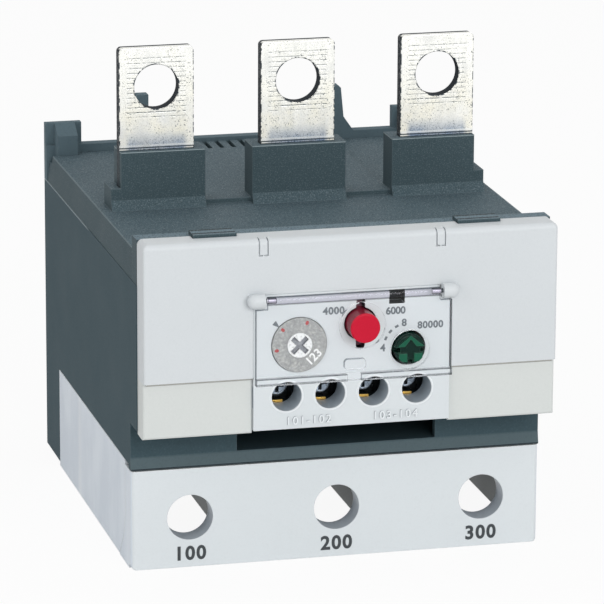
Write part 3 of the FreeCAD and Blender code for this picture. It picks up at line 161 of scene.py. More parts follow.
class Surface:
    """A material's node tree, with short calls for the nodes used here."""

    MIX_FACTOR, MIX_A, MIX_B, MIX_RESULT = 0, 6, 7, 2  # the colour sockets of a Mix node

    def __init__(self, name):
        self.material = bpy.data.materials.new(name)
        self.material.use_nodes = True
        self.tree = self.material.node_tree
        self.shader = self.tree.nodes["Principled BSDF"]
        coordinates = self.node("TexCoord")
        self.place = coordinates.outputs["Object"]
        self.normal = coordinates.outputs["Normal"]
        self.x, self.y, self.z = self.parts(self.place)

    def node(self, kind):
        return self.tree.nodes.new("ShaderNode" + kind)

    def join(self, value, socket):
        """Links an output to a socket, or sets the socket to a plain value."""
        if isinstance(value, bpy.types.NodeSocket):
            self.tree.links.new(value, socket)
        else:
            socket.default_value = value

    def parts(self, vector):
        """The x, y and z of a vector."""
        node = self.node("SeparateXYZ")
        self.join(vector, node.inputs[0])
        return node.outputs

    def stretched(self, scale):
        """The place in the part, scaled by axis, for noise drawn out along one of them."""
        mapping = self.node("Mapping")
        self.join(self.place, mapping.inputs["Vector"])
        mapping.inputs["Scale"].default_value = scale
        return mapping.outputs["Vector"]

    def noise(self, scale, detail=4.0, rough=0.55, vector=None):
        node = self.node("TexNoise")
        self.join(vector or self.place, node.inputs["Vector"])
        for name, value in (("Scale", scale), ("Detail", detail), ("Roughness", rough)):
            node.inputs[name].default_value = value
        return node.outputs["Fac"]

    def ramp(self, value, low, high, start=0.0, end=1.0):
        """Goes from low to high while the value goes from start to end."""
        node = self.node("MapRange")
        names = ("Value", "From Min", "From Max", "To Min", "To Max")
        for name, item in zip(names, (value, start, end, low, high)):
            self.join(item, node.inputs[name])
        return node.outputs["Result"]

    def mix(self, factor, a, b):
        node = self.node("Mix")
        node.data_type = "RGBA"
        for socket, value in ((self.MIX_FACTOR, factor), (self.MIX_A, a), (self.MIX_B, b)):
            self.join(value, node.inputs[socket])
        return node.outputs[self.MIX_RESULT]

    def calc(self, operation, a, b=0.0):
        node = self.node("Math")
        node.operation = operation
        self.join(a, node.inputs[0])
        self.join(b, node.inputs[1])
        return node.outputs[0]

    def both(self, *masks):
        """The product of masks or shares."""
        total = masks[0]
        for mask in masks[1:]:
            total = self.calc("MULTIPLY", total, mask)
        return total

    def other(self, mask):
        """1 where the mask is 0."""
        return self.calc("SUBTRACT", 1.0, mask)

    def above(self, value, limit, soft=0.02 * MM):
        """0 under the limit and 1 over it."""
        return self.ramp(value, 0.0, 1.0, limit - soft, limit + soft)

    def below(self, value, limit, soft=0.02 * MM):
        """1 under the limit and 0 over it."""
        return self.other(self.above(value, limit, soft))

    def between(self, value, low, high, soft=0.02 * MM):
        return self.both(self.above(value, low, soft), self.below(value, high, soft))

    def near_line(self, x, z, radius, pitch=None, soft=0.02 * MM):
        """1 within a radius of a line along Y; with a pitch, of a whole row of such lines."""
        across = self.calc("SUBTRACT", self.x, x)
        if pitch:
            across = self.calc("PINGPONG", across, pitch / 2)
        up = self.calc("SUBTRACT", self.z, z)
        squares = self.calc("ADD", self.both(across, across), self.both(up, up))
        return self.below(self.calc("SQRT", squares), radius, soft)

    def away(self, value, middle=0.0):
        """The distance of a value from a middle."""
        return self.calc("ABSOLUTE", self.calc("SUBTRACT", value, middle) if middle else value)

    def sideways(self):
        """1 on faces that look away from the front and the back."""
        return self.ramp(self.calc("ABSOLUTE", self.parts(self.normal)[1]), 1.0, 0.0, 0.45, 0.85)

    def upward(self):
        """1 on faces that look up."""
        return self.ramp(self.parts(self.normal)[2], 0.0, 1.0, 0.3, 0.8)

    def rounded(self, radius):
        bevel = self.node("Bevel")
        bevel.samples = 6
        bevel.inputs["Radius"].default_value = radius
        return bevel.outputs[0]

    def edges(self, radius):
        """A mask that is 1 along sharp edges and 0 on flats."""
        dot = self.node("VectorMath")
        dot.operation = "DOT_PRODUCT"
        self.join(self.rounded(radius), dot.inputs[0])
        self.join(self.node("NewGeometry").outputs["Normal"], dot.inputs[1])
        return self.ramp(dot.outputs["Value"], 1.0, 0.0, 0.86, 1.0)

    def finish(self, colour, roughness, height, distance, radius=0.3 * MM):
        """Joins colour, roughness and a bump over softly rounded edges to the shader."""
        self.join(colour, self.shader.inputs["Base Color"])
        self.join(roughness, self.shader.inputs["Roughness"])
        bump = self.node("Bump")
        bump.inputs["Distance"].default_value = distance
        self.join(height, bump.inputs["Height"])
        self.join(self.rounded(radius), bump.inputs["Normal"])
        self.join(bump.outputs[0], self.shader.inputs["Normal"])
        return self.material


def painted(s, base, marks):
    """The base colour with each pair of mask and colour laid over it in turn."""
    for mask, paint in marks(s) if marks else ():
        base = s.mix(mask, base, paint)
    return base


def plastic(name, colour, rough=0.5, speckle=0.0, texture=0.02 * MM, edge_wear_and_light=0.8, specular=0.35,
            marks=None, grain=2100, dusty=0.0, soft=0.3 * MM):
    """Moulded plastic: spark texture, uneven gloss, and edges made paler partly by rubbing and partly by
    a painted highlight.

    Grains are fewer on the sides of a dusty part.
    """
    s = Surface(name)
    cloud = s.ramp(s.noise(30, 3.0, 0.5), 0.0, 1.0, 0.3, 0.7)
    base = painted(s, s.mix(cloud, shade(colour, 0.97), colour), marks)
    if speckle:
        share = s.ramp(s.upward(), 1.0 - dusty, 1.0)
        pale_grain = s.both(s.ramp(s.noise(grain, 2.0, 0.5), 0.0, speckle, 0.52, 0.70), share)
        dark_grain = s.both(s.ramp(s.noise(grain * 0.8, 2.0, 0.5), speckle, 0.0, 0.32, 0.47), share)
        base = s.mix(pale_grain, base, shade(colour, 1.9, 0.03 + dusty / 6))
        base = s.mix(dark_grain, base, shade(colour, 0.45))
    # paler edges: partly from rubbing, partly a painted highlight
    base = s.mix(s.both(s.edges(soft), edge_wear_and_light), base, shade(colour, 1.3, 0.05))
    s.shader.inputs["Specular IOR Level"].default_value = specular
    roughness = s.ramp(s.noise(70, 3.0), rough - 0.03, rough + 0.03, 0.3, 0.7)
    return s.finish(base, roughness, s.noise(5200, 3.0, 0.6), texture, soft)


def metal(name, colour, rough=0.3, streak=(900, 900, 60), edge_wear_and_light=0.3, marks=None, metallic=0.92):
    """Rolled or plated metal: fine streaks, and edges darkened with painted shade."""
    s = Surface(name)
    streaks = s.noise(1.0, 4.0, 0.6, s.stretched(streak))
    base = s.mix(s.ramp(streaks, 0.0, 1.0, 0.3, 0.7), shade(colour, 0.8), colour)
    base = painted(s, base, marks)
    # edges darkened with painted shade
    base = s.mix(s.both(s.edges(0.25 * MM), edge_wear_and_light), base, shade(colour, 0.3))
    s.shader.inputs["Metallic"].default_value = metallic
    roughness = s.ramp(streaks, rough - 0.08, rough + 0.12, 0.3, 0.7)
    return s.finish(base, roughness, streaks, 0.01 * MM, 0.15 * MM)


def tin_foot(s, base, inner, patches, fine):
    """A bar's plating, bluish and sooty towards the sleeve but not along its sides."""
    bluish = s.ramp(s.z, 1.0, 0.0, SLEEVE_TOP + 0.8 * MM, SLEEVE_TOP + 4.4 * MM)
    tint = s.both(bluish, inner, s.ramp(patches, 0.4, 1.0, 0.3, 0.62))
    base = s.mix(tint, base, srgb(136, 154, 178))
    sooty = s.ramp(s.z, 1.0, 0.1, SLEEVE_TOP + 0.6 * MM, SLEEVE_TOP + 3.2 * MM)
    return s.mix(s.both(s.ramp(fine, 0.0, 1.0, 0.51, 0.60), sooty, inner), base, srgb(66, 80, 96))


def tin_serration(s, across, half, field_low, top):
    """The mask of the broken rows of serration, with a double line under them."""
    broken = s.ramp(s.noise(1.0, 3.0, 0.6, s.stretched((1900, 1900, 1200))), 0.0, 1.0, 0.36, 0.52)
    rows = s.calc("PINGPONG", s.calc("SUBTRACT", s.z, field_low), SERRATION_PITCH / 2)
    field = s.both(s.between(s.z, field_low, top - 2 * MM, 0.1 * MM),
                   s.below(across, half - 1.8 * MM, 0.15 * MM))
    strong = s.ramp(s.z, 1.0, 0.6, field_low + 0.9 * MM, field_low + 1.6 * MM)
    return s.both(s.below(rows, 0.12 * MM, 0.07 * MM), field, broken, strong)


def tin_sleeve_lines(s, base, flank):
    """Painted light where the bar leaves its sleeve: a pale band of painted highlight, and painted shade
    in a thin dark line and at its foot.
    """
    pale = s.both(s.between(s.z, SLEEVE_TOP + 0.80 * MM, SLEEVE_TOP + 1.25 * MM, 0.1 * MM),
                  s.other(flank), 0.6)
    base = s.mix(pale, base, srgb(236, 238, 236))
    dark = s.between(s.z, SLEEVE_TOP + 0.42 * MM, SLEEVE_TOP + 0.70 * MM, 0.06 * MM)
    base = s.mix(dark, base, srgb(60, 70, 78))
    return s.mix(s.below(s.z, SLEEVE_TOP + 0.12 * MM, 0.05 * MM), base, srgb(48, 58, 64))


def tin_plate(name, bar):
    """A tinned line bar: serrated round its hole, duller low down, and dark with painted shade on its
    side faces, its top edge and the wall of its hole.
    """
    s = Surface(name)
    low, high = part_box(bar)
    centre = (low.x + high.x) / 2
    half = (high.x - low.x) / 2
    hole_z = high.z - BAR_HOLE_DROP
    field_low = high.z - SERRATED
    across = s.away(s.x, centre)
    fine = s.noise(3200, 4.0, 0.7)
    patches = s.noise(210, 5.0, 0.6)
    streaks = s.noise(1.0, 4.0, 0.6, s.stretched((700, 700, 140)))
    base = s.mix(s.ramp(streaks, 0.0, 0.7, 0.35, 0.7), srgb(247, 247, 243), srgb(224, 225, 221))
    aged = s.ramp(s.z, 0.8, 0.3, field_low, high.z - SERRATED / 3)
    base = s.mix(s.both(s.ramp(patches, 0.0, 0.8, 0.36, 0.66), aged), base, srgb(232, 227, 208))
    base = s.mix(s.ramp(fine, 0.0, 0.25, 0.5, 0.64), base, srgb(160, 166, 168))
    base = tin_foot(s, base, s.below(across, half - 1.9 * MM, 0.6 * MM), patches, fine)
    serration = tin_serration(s, across, half, field_low, high.z)
    base = s.mix(serration, base, srgb(84, 94, 100))

    # specks, the worn outline, and painted shade on the side faces, the top edge and the wall of the
    # hole
    specks = s.both(s.ramp(s.noise(3000, 3.0, 0.6), 0.0, 0.9, 0.60, 0.65),
                    s.ramp(patches, 0.1, 1.0, 0.42, 0.56))
    base = s.mix(specks, base, srgb(82, 92, 98))
    hole = s.near_line(centre, hole_z, BAR_HOLE + 0.26 * MM, soft=0.08 * MM)
    worn = s.ramp(s.noise(900, 3.0, 0.6), 0.0, 1.0, 0.46, 0.54)
    rim = s.both(s.calc("MAXIMUM", s.above(across, half - 0.2 * MM, 0.06 * MM), hole), worn)
    base = s.mix(rim, base, srgb(52, 64, 72))
    crest = s.both(s.above(s.z, high.z - 0.3 * MM, 0.05 * MM),
                   s.above(s.y, high.y - 1.2 * MM, 0.1 * MM))
    wall = s.near_line(centre, hole_z, BAR_HOLE + 0.04 * MM)
    flank = s.ramp(s.calc("ABSOLUTE", s.parts(s.normal)[0]), 0.0, 1.0, 0.45, 0.8)
    sides = s.both(flank, s.ramp(fine, 1.0, 0.7, 0.5, 0.62))
    shaded_faces = s.calc("MAXIMUM", s.calc("MAXIMUM", crest, wall), sides)
    base = s.mix(shaded_faces, base, srgb(26, 35, 42))
    base = tin_sleeve_lines(s, base, flank)

    s.shader.inputs["Metallic"].default_value = 0.85
    height = s.calc("ADD", s.both(streaks, 0.3), s.other(s.both(serration, 0.8)))
    roughness = s.calc("MAXIMUM", s.ramp(patches, 0.26, 0.5, 0.3, 0.7), s.both(shaded_faces, 0.75))
    return s.finish(base, roughness, height, 0.03 * MM, 0.2 * MM)


def clear_plastic(name):
    """Clear moulded cover: polished, with painted dark reflections where its edges turn, and open to
    light from the lamps.
    """
    s = Surface(name)
    low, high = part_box("flip_cover")
    outward = s.away(s.x)
    rod = s.above(s.z, high.z - HINGE_ROD)
    base = s.mix(rod, (0.985, 0.99, 1.0, 1.0), srgb(226, 223, 232))
    button_hole = s.near_line(BUTTON.x, BUTTON.z, BUTTON_HOLE + 0.5 * MM)
    knob_hole = s.near_line(KNOB.x, KNOB.z, KNOB_HOLE + 0.5 * MM)
    outer = s.both(s.other(button_hole), s.other(knob_hole))
    # painted dark reflection on the edges and side faces, fainter round the two holes
    edge_reflection = s.calc("MAXIMUM", s.edges(0.2 * MM), s.sideways())
    edge_reflection = s.both(edge_reflection, s.ramp(outer, 0.18, 1.0))
    base = s.mix(edge_reflection, base, srgb(92, 98, 106))

    # painted dark reflections along the sides, the lips and the rod
    lips = s.above(outward, LIP_GAP_HALF)
    lip_top = low.z + COVER_LIP
    lines = (s.above(outward, high.x - 0.2 * MM),
             s.both(lips, s.below(s.z, low.z + 0.2 * MM)),
             s.both(lips, s.between(s.z, lip_top - 0.12 * MM, lip_top + 0.06 * MM)),
             s.between(s.z, high.z - HINGE_ROD - 0.15 * MM, high.z - HINGE_ROD + 0.2 * MM, 0.05 * MM),
             s.above(s.z, high.z - 0.2 * MM))
    for line in lines:
        base = s.mix(s.both(line, 0.75), base, srgb(44, 50, 56))
    s.join(base, s.shader.inputs["Base Color"])
    s.shader.inputs["Transmission Weight"].default_value = 1.0
    s.shader.inputs["IOR"].default_value = 1.25
    bump = s.node("Bump")
    bump.inputs["Distance"].default_value = 0.004 * MM
    s.join(s.noise(90, 2.0), bump.inputs["Height"])
    s.join(s.rounded(0.12 * MM), bump.inputs["Normal"])
    s.join(bump.outputs[0], s.shader.inputs["Normal"])
    s.join(s.ramp(s.noise(300, 3.0), 0.0, 0.03, 0.3, 0.7), s.shader.inputs["Roughness"])
    path = s.node("LightPath").outputs
    blend = s.node("MixShader")
    s.join(s.calc("MAXIMUM", path["Is Shadow Ray"], path["Is Diffuse Ray"]), blend.inputs[0])
    s.join(s.shader.outputs[0], blend.inputs[1])
    s.join(s.node("BsdfTransparent").outputs[0], blend.inputs[2])
    s.join(blend.outputs[0], s.tree.nodes["Material Output"].inputs["Surface"])
    return s.material


def ink(name, colour):
    """Pad-printed ink with a slightly broken surface."""
    s = Surface(name)
    base = s.mix(s.ramp(s.noise(4000, 3.0), 0.0, 0.35, 0.45, 0.7), colour, shade(colour, 1.3, 0.02))
    roughness = s.ramp(s.noise(900, 2.0), 0.4, 0.55, 0.3, 0.7)
    return s.finish(base, roughness, s.noise(5200, 3.0), 0.01 * MM, 0.05 * MM)


# marks on one finish: pairs of a mask and the colour that it brings in


def housing_marks(s):
    """A painted highlight along the top edge of the side walls, painted light on the flare over the
    lower cover, painted shade along its seam, and painted light on the back wall over the eaves.
    """
    edge_highlight = s.both(s.between(s.z, EAVES - 0.25 * MM, EAVES), s.above(s.y, EDGE_HIGHLIGHT_FROM, 2 * MM))
    strip = s.below(s.y, FRONT + STRIP_DEEP + 0.3 * MM)
    flare = s.both(strip, s.below(s.z, COVER_TOP + FLARE_TOP, 0.3 * MM))
    seam = s.both(strip, s.below(s.z, COVER_TOP + 0.55 * MM, 0.06 * MM))
    back = s.both(s.between(s.y, BACK_WALL, cad_high.y - 0.1 * MM), s.above(s.z, EAVES))
    return [(flare, srgb(84, 99, 104)), (seam, srgb(24, 32, 36)), (back, srgb(92, 110, 118)),
            (s.both(edge_highlight, 0.6), srgb(196, 208, 212))]


def top_marks(s):
    """Painted light on the upward faces of the roof, most of all in front; a painted highlight along its
    sides and along the top edge of the sleeves; painted shade in the slots of two clips.
    """
    up = s.upward()
    outward = s.away(s.x)
    front_roof = s.both(up, s.ramp(s.y, 1.0, 0.0, FRONT + ROOF_LIGHT[0], FRONT + ROOF_LIGHT[1]))
    line = s.both(s.between(s.z, ROOF - 0.25 * MM, ROOF + 0.02 * MM),
                  s.above(outward, ROOF_HALF - 0.2 * MM), s.above(s.y, FRONT + ROOF_LINE_FROM))
    rim = s.both(s.above(s.z, SLEEVE_TOP - 0.22 * MM), s.other(up))
    clip = s.both(s.above(s.z, ROOF + 0.3 * MM), s.below(s.y, FRONT + CLIP_BACK),
                  s.below(s.away(outward, CLIP_AXIS), CLIP_HALF))
    slot = s.between(s.y, FRONT + CLIP_SLOT[0], FRONT + CLIP_SLOT[1])
    slots = s.calc("MAXIMUM", slot, s.above(s.y, FRONT + CLIP_END))
    return [(up, srgb(76, 94, 102)), (front_roof, srgb(104, 124, 134)),
            (s.both(line, 0.8), srgb(120, 136, 142)), (s.both(rim, 0.7), srgb(176, 190, 194)),
            (s.both(clip, slots), srgb(26, 36, 40))]


def fascia_marks(s):
    """The warmer lower panel and the shaded lip over it."""
    lip = s.both(s.between(s.z, PANEL_STEP - LIP_TALL, PANEL_STEP),
                 s.below(s.y, FRONT + LOWER_PANEL_STEP - 0.05 * MM))
    return [(s.below(s.z, PANEL_STEP), srgb(208, 212, 210)), (lip, srgb(172, 171, 165))]


def insert_marks(s):
    """A painted highlight on the rims round the terminal barrels, and painted shade on the walls inside
    the barrels, the keyway and the window.
    """
    inside = s.above(s.y, FRONT + 0.25 * MM, 0.1 * MM)
    barrel = s.near_line(AUX_PITCH / 2, AUX_Z, BARREL, AUX_PITCH)
    keyway = s.near_line(BUTTON.x, BUTTON.z, KEYWAY)
    deep = s.above(s.y, INSERT_FACE + 0.15 * MM, 0.1 * MM)
    under = s.below(s.z, PANEL_STEP)
    row = s.below(s.away(s.x), 2 * AUX_PITCH)
    rim = s.near_line(AUX_PITCH / 2, AUX_Z, BARREL_RIM, AUX_PITCH)
    rim = s.both(rim, under, row, s.other(inside))
    low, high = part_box("trip_flag")
    beside = s.above(s.away(s.x, BUTTON.x + FLAG_OFFSET), FLAG_WINDOW / 2)
    window = s.both(s.between(s.z, low.z - 0.2 * MM, high.z + 0.2 * MM), s.other(beside), deep)
    return [(s.both(rim, 0.7), srgb(236, 240, 242)),
            (s.both(barrel, inside, under), srgb(178, 188, 196)),
            (s.both(keyway, deep), srgb(60, 54, 62)), (window, srgb(40, 50, 50))]


def raised_marks(s):
    """The sides of a raised number are in shade."""
    return [(s.sideways(), srgb(150, 157, 162))]


def cover_marks(s):
    """The driver bores and pole chambers are in shade; the sides are bluish with a faint flow line."""
    bore = s.near_line(0.0, COVER.z + BORE_AXIS, BORE_SHADE, POLE_PITCH)
    outward = s.away(s.x)
    chamber = s.both(s.above(s.y, COVER.y + COVER_FACE_THICK),
                     s.below(outward, cad_high.x - COVER_WALL))
    side = s.above(outward, cad_high.x - 0.3 * MM)
    cloud = s.noise(1.0, 3.0, 0.5, s.stretched((90, 90, 45)))
    stain = s.both(side, s.ramp(cloud, 0.2, 1.0, 0.38, 0.62))
    flow = s.both(s.between(s.y, FLOW_LINE[0], FLOW_LINE[1], 1.5 * MM), side)
    return [(bore, srgb(196, 204, 212)), (chamber, srgb(84, 98, 100)), (side, srgb(223, 231, 239)),
            (stain, srgb(208, 217, 227)), (s.both(flow, 0.35), srgb(240, 243, 245))]


def dial_marks(s):
    """A white hub with a grey slot, on a mottled grey ring."""
    hub = s.near_line(DIAL.x, DIAL.z, DIAL_HUB)
    slot = s.above(s.y, DIAL.y + 0.12 * MM, 0.05 * MM)
    mottle = s.ramp(s.noise(1300, 3.0, 0.6), 0.0, 0.8, 0.5, 0.64)
    return [(mottle, srgb(186, 188, 184)), (hub, srgb(240, 242, 242)),
            (s.both(hub, slot), srgb(150, 153, 160))]


def button_marks(s):
    """Painted shade: the barrel and the keys behind the face are a deeper red."""
    barrel = s.above(s.y, BUTTON.y + 0.5 * MM, 0.15 * MM)
    keys = s.other(s.near_line(BUTTON.x, BUTTON.z, BUTTON_FACE))
    return [(barrel, srgb(124, 26, 46)), (keys, srgb(104, 70, 84))]


def knob_marks(s):
    """Painted shade: the floor and the barrel are darker than the arrowhead and the pads."""
    return [(s.above(s.y, KNOB.y + 0.2 * MM, 0.08 * MM), srgb(4, 36, 30))]


def terminal_marks(s):
    """Only the front of the lip of a clamp plate is bright brass; the rest is darkened with painted
    shade.
    """
    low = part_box("aux_plates")[0]
    shaded_inside = s.calc("MAXIMUM", s.above(s.z, low.z + 0.6 * MM), s.above(s.y, low.y + 0.5 * MM))
    return [(shaded_inside, srgb(34, 38, 40))]


def pin_marks(s):
    """A hinge pin is dark only next to its cap; the rest shows pale through the clear rod."""
    pale = s.below(s.away(s.x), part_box("cover_hinge_pins")[1].x - CAP_INNER - 0.5 * MM)
    return [(pale, srgb(206, 205, 214))]


def screw_marks(s):
    """The cross slots are dark with painted shade."""
    deep = s.above(s.y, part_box("aux_screws")[0].y + 0.25 * MM, 0.05 * MM)
    cross = s.near_line(AUX_PITCH / 2, AUX_Z, SCREW_CROSS, AUX_PITCH)
    return [(s.both(deep, cross), srgb(40, 48, 56))]


DARK = srgb(62, 80, 87)
INSERT_GREY = srgb(213, 219, 222)
FINISHES = {
    "housing_dark": plastic("housing_plastic", DARK, 0.7, 0.1, 0.008 * MM, specular=0.12,
                            marks=housing_marks),
    "top_dark": plastic("top_plastic", srgb(60, 77, 83), 0.68, 0.75, 0.012 * MM, specular=0.2,
                        marks=top_marks, grain=3600, dusty=0.7),
    "fascia_grey": plastic("fascia_plastic", srgb(208, 213, 216), 0.45, 0.03, marks=fascia_marks),
    "insert_grey": plastic("insert_plastic", INSERT_GREY, 0.42, 0.02, marks=insert_marks),
    "cover_grey": plastic("cover_plastic", srgb(219, 225, 228), 0.45, 0.03, marks=cover_marks),
    "clear_cover": clear_plastic("clear_cover"),
    "dial_grey": plastic("dial_plastic", srgb(158, 160, 160), 0.4, 0.35, edge_wear_and_light=0.2,
                         marks=dial_marks),
    "stop_red": plastic("button_plastic", srgb(196, 8, 46), 0.35, 0.04, edge_wear_and_light=0.1, specular=0.2,
                        marks=button_marks),
    "reset_green": plastic("knob_plastic", srgb(22, 88, 66), 0.28, 0.05, edge_wear_and_light=0.4, specular=0.15,
                           marks=knob_marks),
    "flag_teal": plastic("flag_plastic", srgb(36, 46, 46), 0.5, 0.1, edge_wear_and_light=0.3),
    "inner_ivory": plastic("inner_plastic", srgb(205, 200, 184), 0.45),
    "inner_dark": plastic("inner_dark_plastic", srgb(34, 42, 46), 0.5, edge_wear_and_light=0.3),
    "heater_alloy": metal("heater_strip", srgb(190, 184, 176), 0.4),
    "bimetal": metal("bimetal_strip", srgb(206, 200, 190), 0.35),
    "zinc_steel": metal("zinc_steel", srgb(214, 228, 244), 0.24, (600, 600, 600),
                        marks=screw_marks, metallic=0.6),
    "spring_steel": metal("spring_wire", srgb(186, 188, 192), 0.3),
    "contact_brass": metal("brass_strip", srgb(250, 204, 104), 0.3, (900, 200, 900), 0.1,
                           terminal_marks, 0.6),
}
for side in ("left", "middle", "right"):
    FINISHES["line_bar_" + side] = tin_plate("tin_line_" + side, "line_bar_" + side)
FINISHES["tinned_copper"] = metal("tin_load", srgb(226, 227, 222), 0.35)
FINISHES["cover_hinge_pins"] = metal("pin_steel", srgb(60, 68, 74), 0.4, marks=pin_marks, metallic=0.3)

slot_of = {entry["node"]: entry["material_slot"] for entry in frame["record"]["subparts"]}
for node, item in frame["nodes"].items():
    item.data.materials.clear()
    item.data.materials.append(FINISHES.get(node) or FINISHES[slot_of[node]])

GREY_INK = ink("ink_grey", srgb(100, 108, 114))
RED_INK = ink("ink_red", srgb(168, 64, 66))
DARK_INK = ink("ink_dark", srgb(48, 54, 58))
WHITE_INK = ink("ink_white", srgb(244, 245, 245))


# ------------------------------------------------------------------ pieces


SIZE_OF_HEIGHT = 1.40  # a font's size for each unit of height of its numerals


def add(name, mesh, material, body):
    """Puts a piece in the scene, riding on a body."""
    item = bpy.data.objects.new(name, mesh)
    bpy.context.scene.collection.objects.link(item)
    item.data.materials.append(material)
    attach(item, body)
    return item


def chip(name, outline, y, material, body, thick=2 * SKIN):
    """A thin flat piece in the XZ plane with its front face at y; the outline is of x and z."""
    mesh = bpy.data.meshes.new(name)
    build = bmesh.new()
    face = build.faces.new([build.verts.new((x, y, z)) for x, z in outline])
    made = bmesh.ops.extrude_face_region(build, geom=[face])
    moved = [v for v in made["geom"] if isinstance(v, bmesh.types.BMVert)]
    bmesh.ops.translate(build, verts=moved, vec=(0, thick, 0))
    bmesh.ops.recalc_face_normals(build, faces=build.faces)
    build.to_mesh(mesh)
    build.free()
    return add(name, mesh, material, body)


def turned(middle, points, turn):
    """Points round the origin turned by an angle and moved to the middle."""
    c, s = math.cos(turn), math.sin(turn)
    return [(middle[0] + x * c - z * s, middle[1] + x * s + z * c) for x, z in points]


def oval(half_width, half_height, steps=24):
    """Points of an oval round the origin."""
    angles = [2 * math.pi * n / steps for n in range(steps)]
    return [(half_width * math.cos(a), half_height * math.sin(a)) for a in angles]


def polar(centre, radius, degrees):
    """The x and z at a distance and an angle from a centre, anticlockwise from +X."""
    a = math.radians(degrees)
    return centre.x + radius * math.cos(a), centre.z + radius * math.sin(a)


def number(name, text, place, height, y, material, body, turn=0.0, thick=2 * SKIN,
           spacing=1.0, bold=0.045):
    """A number standing on a front face, its middle at a place of x and z."""
    curve = bpy.data.curves.new(name, "FONT")
    curve.body = text
    curve.align_x = "CENTER"
    curve.align_y = "CENTER"
    curve.size = height * SIZE_OF_HEIGHT
    curve.offset = height * bold
    curve.space_character = spacing
    curve.extrude = thick / 2
    curve.resolution_u = 4
    shape = bpy.data.objects.new(name + "_shape", curve)
    bpy.context.scene.collection.objects.link(shape)
    bpy.context.view_layer.update()
    mesh = bpy.data.meshes.new_from_object(shape.evaluated_get(bpy.context.evaluated_depsgraph_get()))
    bpy.data.objects.remove(shape)
    bpy.data.curves.remove(curve)
    mesh.name = name
    mesh.materials.clear()
    upright = Matrix.Rotation(math.radians(90), 4, "X") @ Matrix.Rotation(turn, 4, "Z")
    mesh.transform(Matrix.Translation((place[0], y, place[1])) @ upright)
    return add(name, mesh, material, body)


# the dial: three dots and a number
DOT_REACH = 5.3 * MM
DOT = oval(0.5 * MM, 0.38 * MM)
DIAL_NUMBER_REACH = 4.4 * MM
for n, angle in enumerate((71, 136, 191)):
    spot = turned(polar(DIAL, DOT_REACH, angle), DOT, math.radians(angle))
    chip(f"dial_dot_{n + 1}", spot, FRONT - SKIN, RED_INK, "dial")
number("dial_number", "123", polar(DIAL, DIAL_NUMBER_REACH, -42), 1.95 * MM, FRONT - 0.05 * MM,
       WHITE_INK, "dial", math.radians(43), 0.14 * MM, bold=0.03)

# printed marks on the insert
POINTER_REACH = 7.0 * MM
POINTER_ANGLE = 137
POINTER = [(-0.95 * MM, 0), (0.85 * MM, 0.6 * MM), (0.85 * MM, -0.6 * MM)]
arrow = turned(polar(DIAL, POINTER_REACH, POINTER_ANGLE), POINTER, math.radians(POINTER_ANGLE))
chip("dial_pointer", arrow, INSERT_FACE - SKIN, GREY_INK, "housing")
MARKS = (  # piece, text, what it stands by, x and z from its middle, height in mm, spacing
    ("mark_button", "4000", BUTTON, -6.23, 3.25, 1.65, 1.1),
    ("mark_flag", "6000", KNOB, -2.97, 8.65, 1.65, 0.98),
    ("mark_knob", "80000", KNOB, 5.1, 4.95, 1.6, 1.08),
    ("mark_knob_left", "4", KNOB, -5.87, 0.2, 1.65, 1.0),
    ("mark_knob_top", "8", KNOB, -0.97, 5.75, 1.65, 1.0),
)
for name, text, by, x, z, height, spacing in MARKS:
    number(name, text, (by.x + x * MM, by.z + z * MM), height * MM, INSERT_FACE - SKIN, GREY_INK,
           "housing", spacing=spacing)
DASH_REACH = 5.7 * MM
DASH = [(x * 0.27 * MM, z * 0.45 * MM) for x, z in ((-1, -1), (1, -1), (1, 1), (-1, 1))]
for n, angle in enumerate((155, 136.5, 118)):
    spot = turned(polar(KNOB, DASH_REACH, angle), DASH, math.radians(angle))
    chip(f"knob_dash_{n + 1}", spot, INSERT_FACE - SKIN, GREY_INK, "housing")

# raised numbers under the auxiliary terminals, and printed ones under the driver bores
AUX_NUMBER_DROP = 10.4 * MM
POLE_NUMBER_UP = 3.1 * MM
RAISED = plastic("raised_plastic", srgb(230, 235, 238), 0.45, edge_wear_and_light=0.0, marks=raised_marks,
                 soft=0.03 * MM)
for side, text in ((-1, "101-102"), (1, "103-104")):
    number(f"aux_numbers_{text}", text, (side * AUX_PITCH, PANEL_STEP - AUX_NUMBER_DROP), 1.85 * MM,
           FRONT - 0.12 * MM, RAISED, "housing", thick=0.4 * MM, spacing=1.25,
           bold=0.02)
for n, pole in enumerate((-1, 0, 1)):
    number(f"pole_number_{n + 1}", f"{n + 1}00", (pole * POLE_PITCH, POLE_NUMBER_UP), 3.2 * MM,
           COVER.y - SKIN, DARK_INK, "housing", spacing=1.15)


# ------------------------------------------------------------------- stage


PAPER_GREY = (0.86, 0.86, 0.86, 1)
PAPER_WHITE_SHARE = 0.93
LAMP_AIM = Vector((0, 0, 0.05))
WORLD_LIGHT = 0.5
WORLD_SEEN = 1.0
FLOOR_HALF = 3.0
CAMERA_PLACE = Vector((-247.949, -993.992, 321.125)) * MM
CAMERA_RIGHT = Vector((0.97005339, -0.24285382, 0.00429564))
CAMERA_UP = Vector((0.05826173, 0.2498165, 0.96653882))


def seen_directly(tree):
    """1 for rays from the camera, off a gloss or through glass, and 0 for the rest."""
    path = tree.nodes.new("ShaderNodeLightPath")
    total = path.outputs["Is Camera Ray"]
    for name in ("Is Glossy Ray", "Is Transmission Ray"):
        node = tree.nodes.new("ShaderNodeMath")
        node.operation = "MAXIMUM"
        tree.links.new(total, node.inputs[0])
        tree.links.new(path.outputs[name], node.inputs[1])
        total = node.outputs[0]
    return total


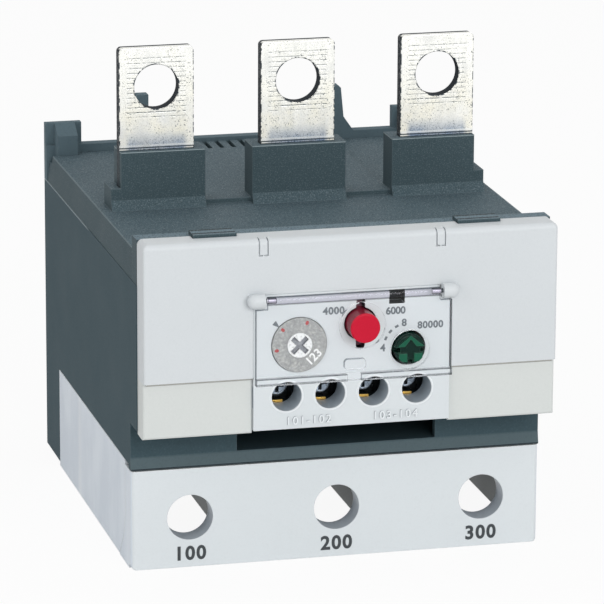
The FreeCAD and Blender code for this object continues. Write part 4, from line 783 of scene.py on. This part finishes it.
def paper():
    """A pale floor that shows white to the camera and still takes the object's shadow."""
    material = bpy.data.materials.new("floor_paper")
    material.use_nodes = True
    tree = material.node_tree
    tree.nodes.clear()
    diffuse = tree.nodes.new("ShaderNodeBsdfDiffuse")
    diffuse.inputs["Color"].default_value = PAPER_GREY
    glow = tree.nodes.new("ShaderNodeEmission")
    share = tree.nodes.new("ShaderNodeMath")
    share.operation = "MULTIPLY"
    share.inputs[1].default_value = PAPER_WHITE_SHARE
    blend = tree.nodes.new("ShaderNodeMixShader")
    output = tree.nodes.new("ShaderNodeOutputMaterial")
    tree.links.new(seen_directly(tree), share.inputs[0])
    tree.links.new(share.outputs[0], blend.inputs[0])
    tree.links.new(diffuse.outputs[0], blend.inputs[1])
    tree.links.new(glow.outputs[0], blend.inputs[2])
    tree.links.new(blend.outputs[0], output.inputs[0])
    return material


def lamp(name, place, size, power):
    """A soft lamp aimed at the object."""
    data = bpy.data.lights.new(name, "AREA")
    data.shape = "RECTANGLE"
    data.size, data.size_y = size
    data.energy = power
    item = bpy.data.objects.new(name, data)
    item.location = place
    item.rotation_mode = "QUATERNION"
    item.rotation_quaternion = (LAMP_AIM - Vector(place)).to_track_quat("-Z", "Y")
    bpy.context.scene.collection.objects.link(item)


mesh = bpy.data.meshes.new("floor")
corners = [(x * FLOOR_HALF, y * FLOOR_HALF, 0) for x, y in ((-1, -1), (1, -1), (1, 1), (-1, 1))]
mesh.from_pydata(corners, [], [(0, 1, 2, 3)])
floor = bpy.data.objects.new("floor", mesh)
bpy.context.scene.collection.objects.link(floor)
floor.data.materials.append(paper())

world = bpy.data.worlds.new("studio")
bpy.context.scene.world = world
world.use_nodes = True
tree = world.node_tree
background = tree.nodes["Background"]
background.inputs["Color"].default_value = (1, 1, 1, 1)
strength = tree.nodes.new("ShaderNodeMapRange")
strength.inputs["To Min"].default_value = WORLD_LIGHT
strength.inputs["To Max"].default_value = WORLD_SEEN
tree.links.new(seen_directly(tree), strength.inputs["Value"])
tree.links.new(strength.outputs["Result"], background.inputs["Strength"])

lamp("key", (0.2, -1.1, 0.45), (0.7, 0.5), 6.0)
lamp("fill", (-0.9, -0.5, 0.5), (0.6, 0.6), 1.6)
lamp("top", (-0.1, 0.1, 1.1), (0.8, 0.8), 1.8)

camera_data = bpy.data.cameras.new("camera")
camera_data.sensor_width = 36.0
camera_data.lens = 269.76
camera_data.clip_start = 0.05
camera_data.clip_end = 20.0
camera = bpy.data.objects.new("camera", camera_data)
bpy.context.scene.collection.objects.link(camera)
toward = CAMERA_RIGHT.cross(CAMERA_UP)
pose = Matrix((CAMERA_RIGHT, CAMERA_UP, toward)).transposed().to_4x4()
pose.translation = CAMERA_PLACE
camera.matrix_world = pose
bpy.context.scene.camera = camera
bpy.context.scene.view_settings.view_transform = "Standard"
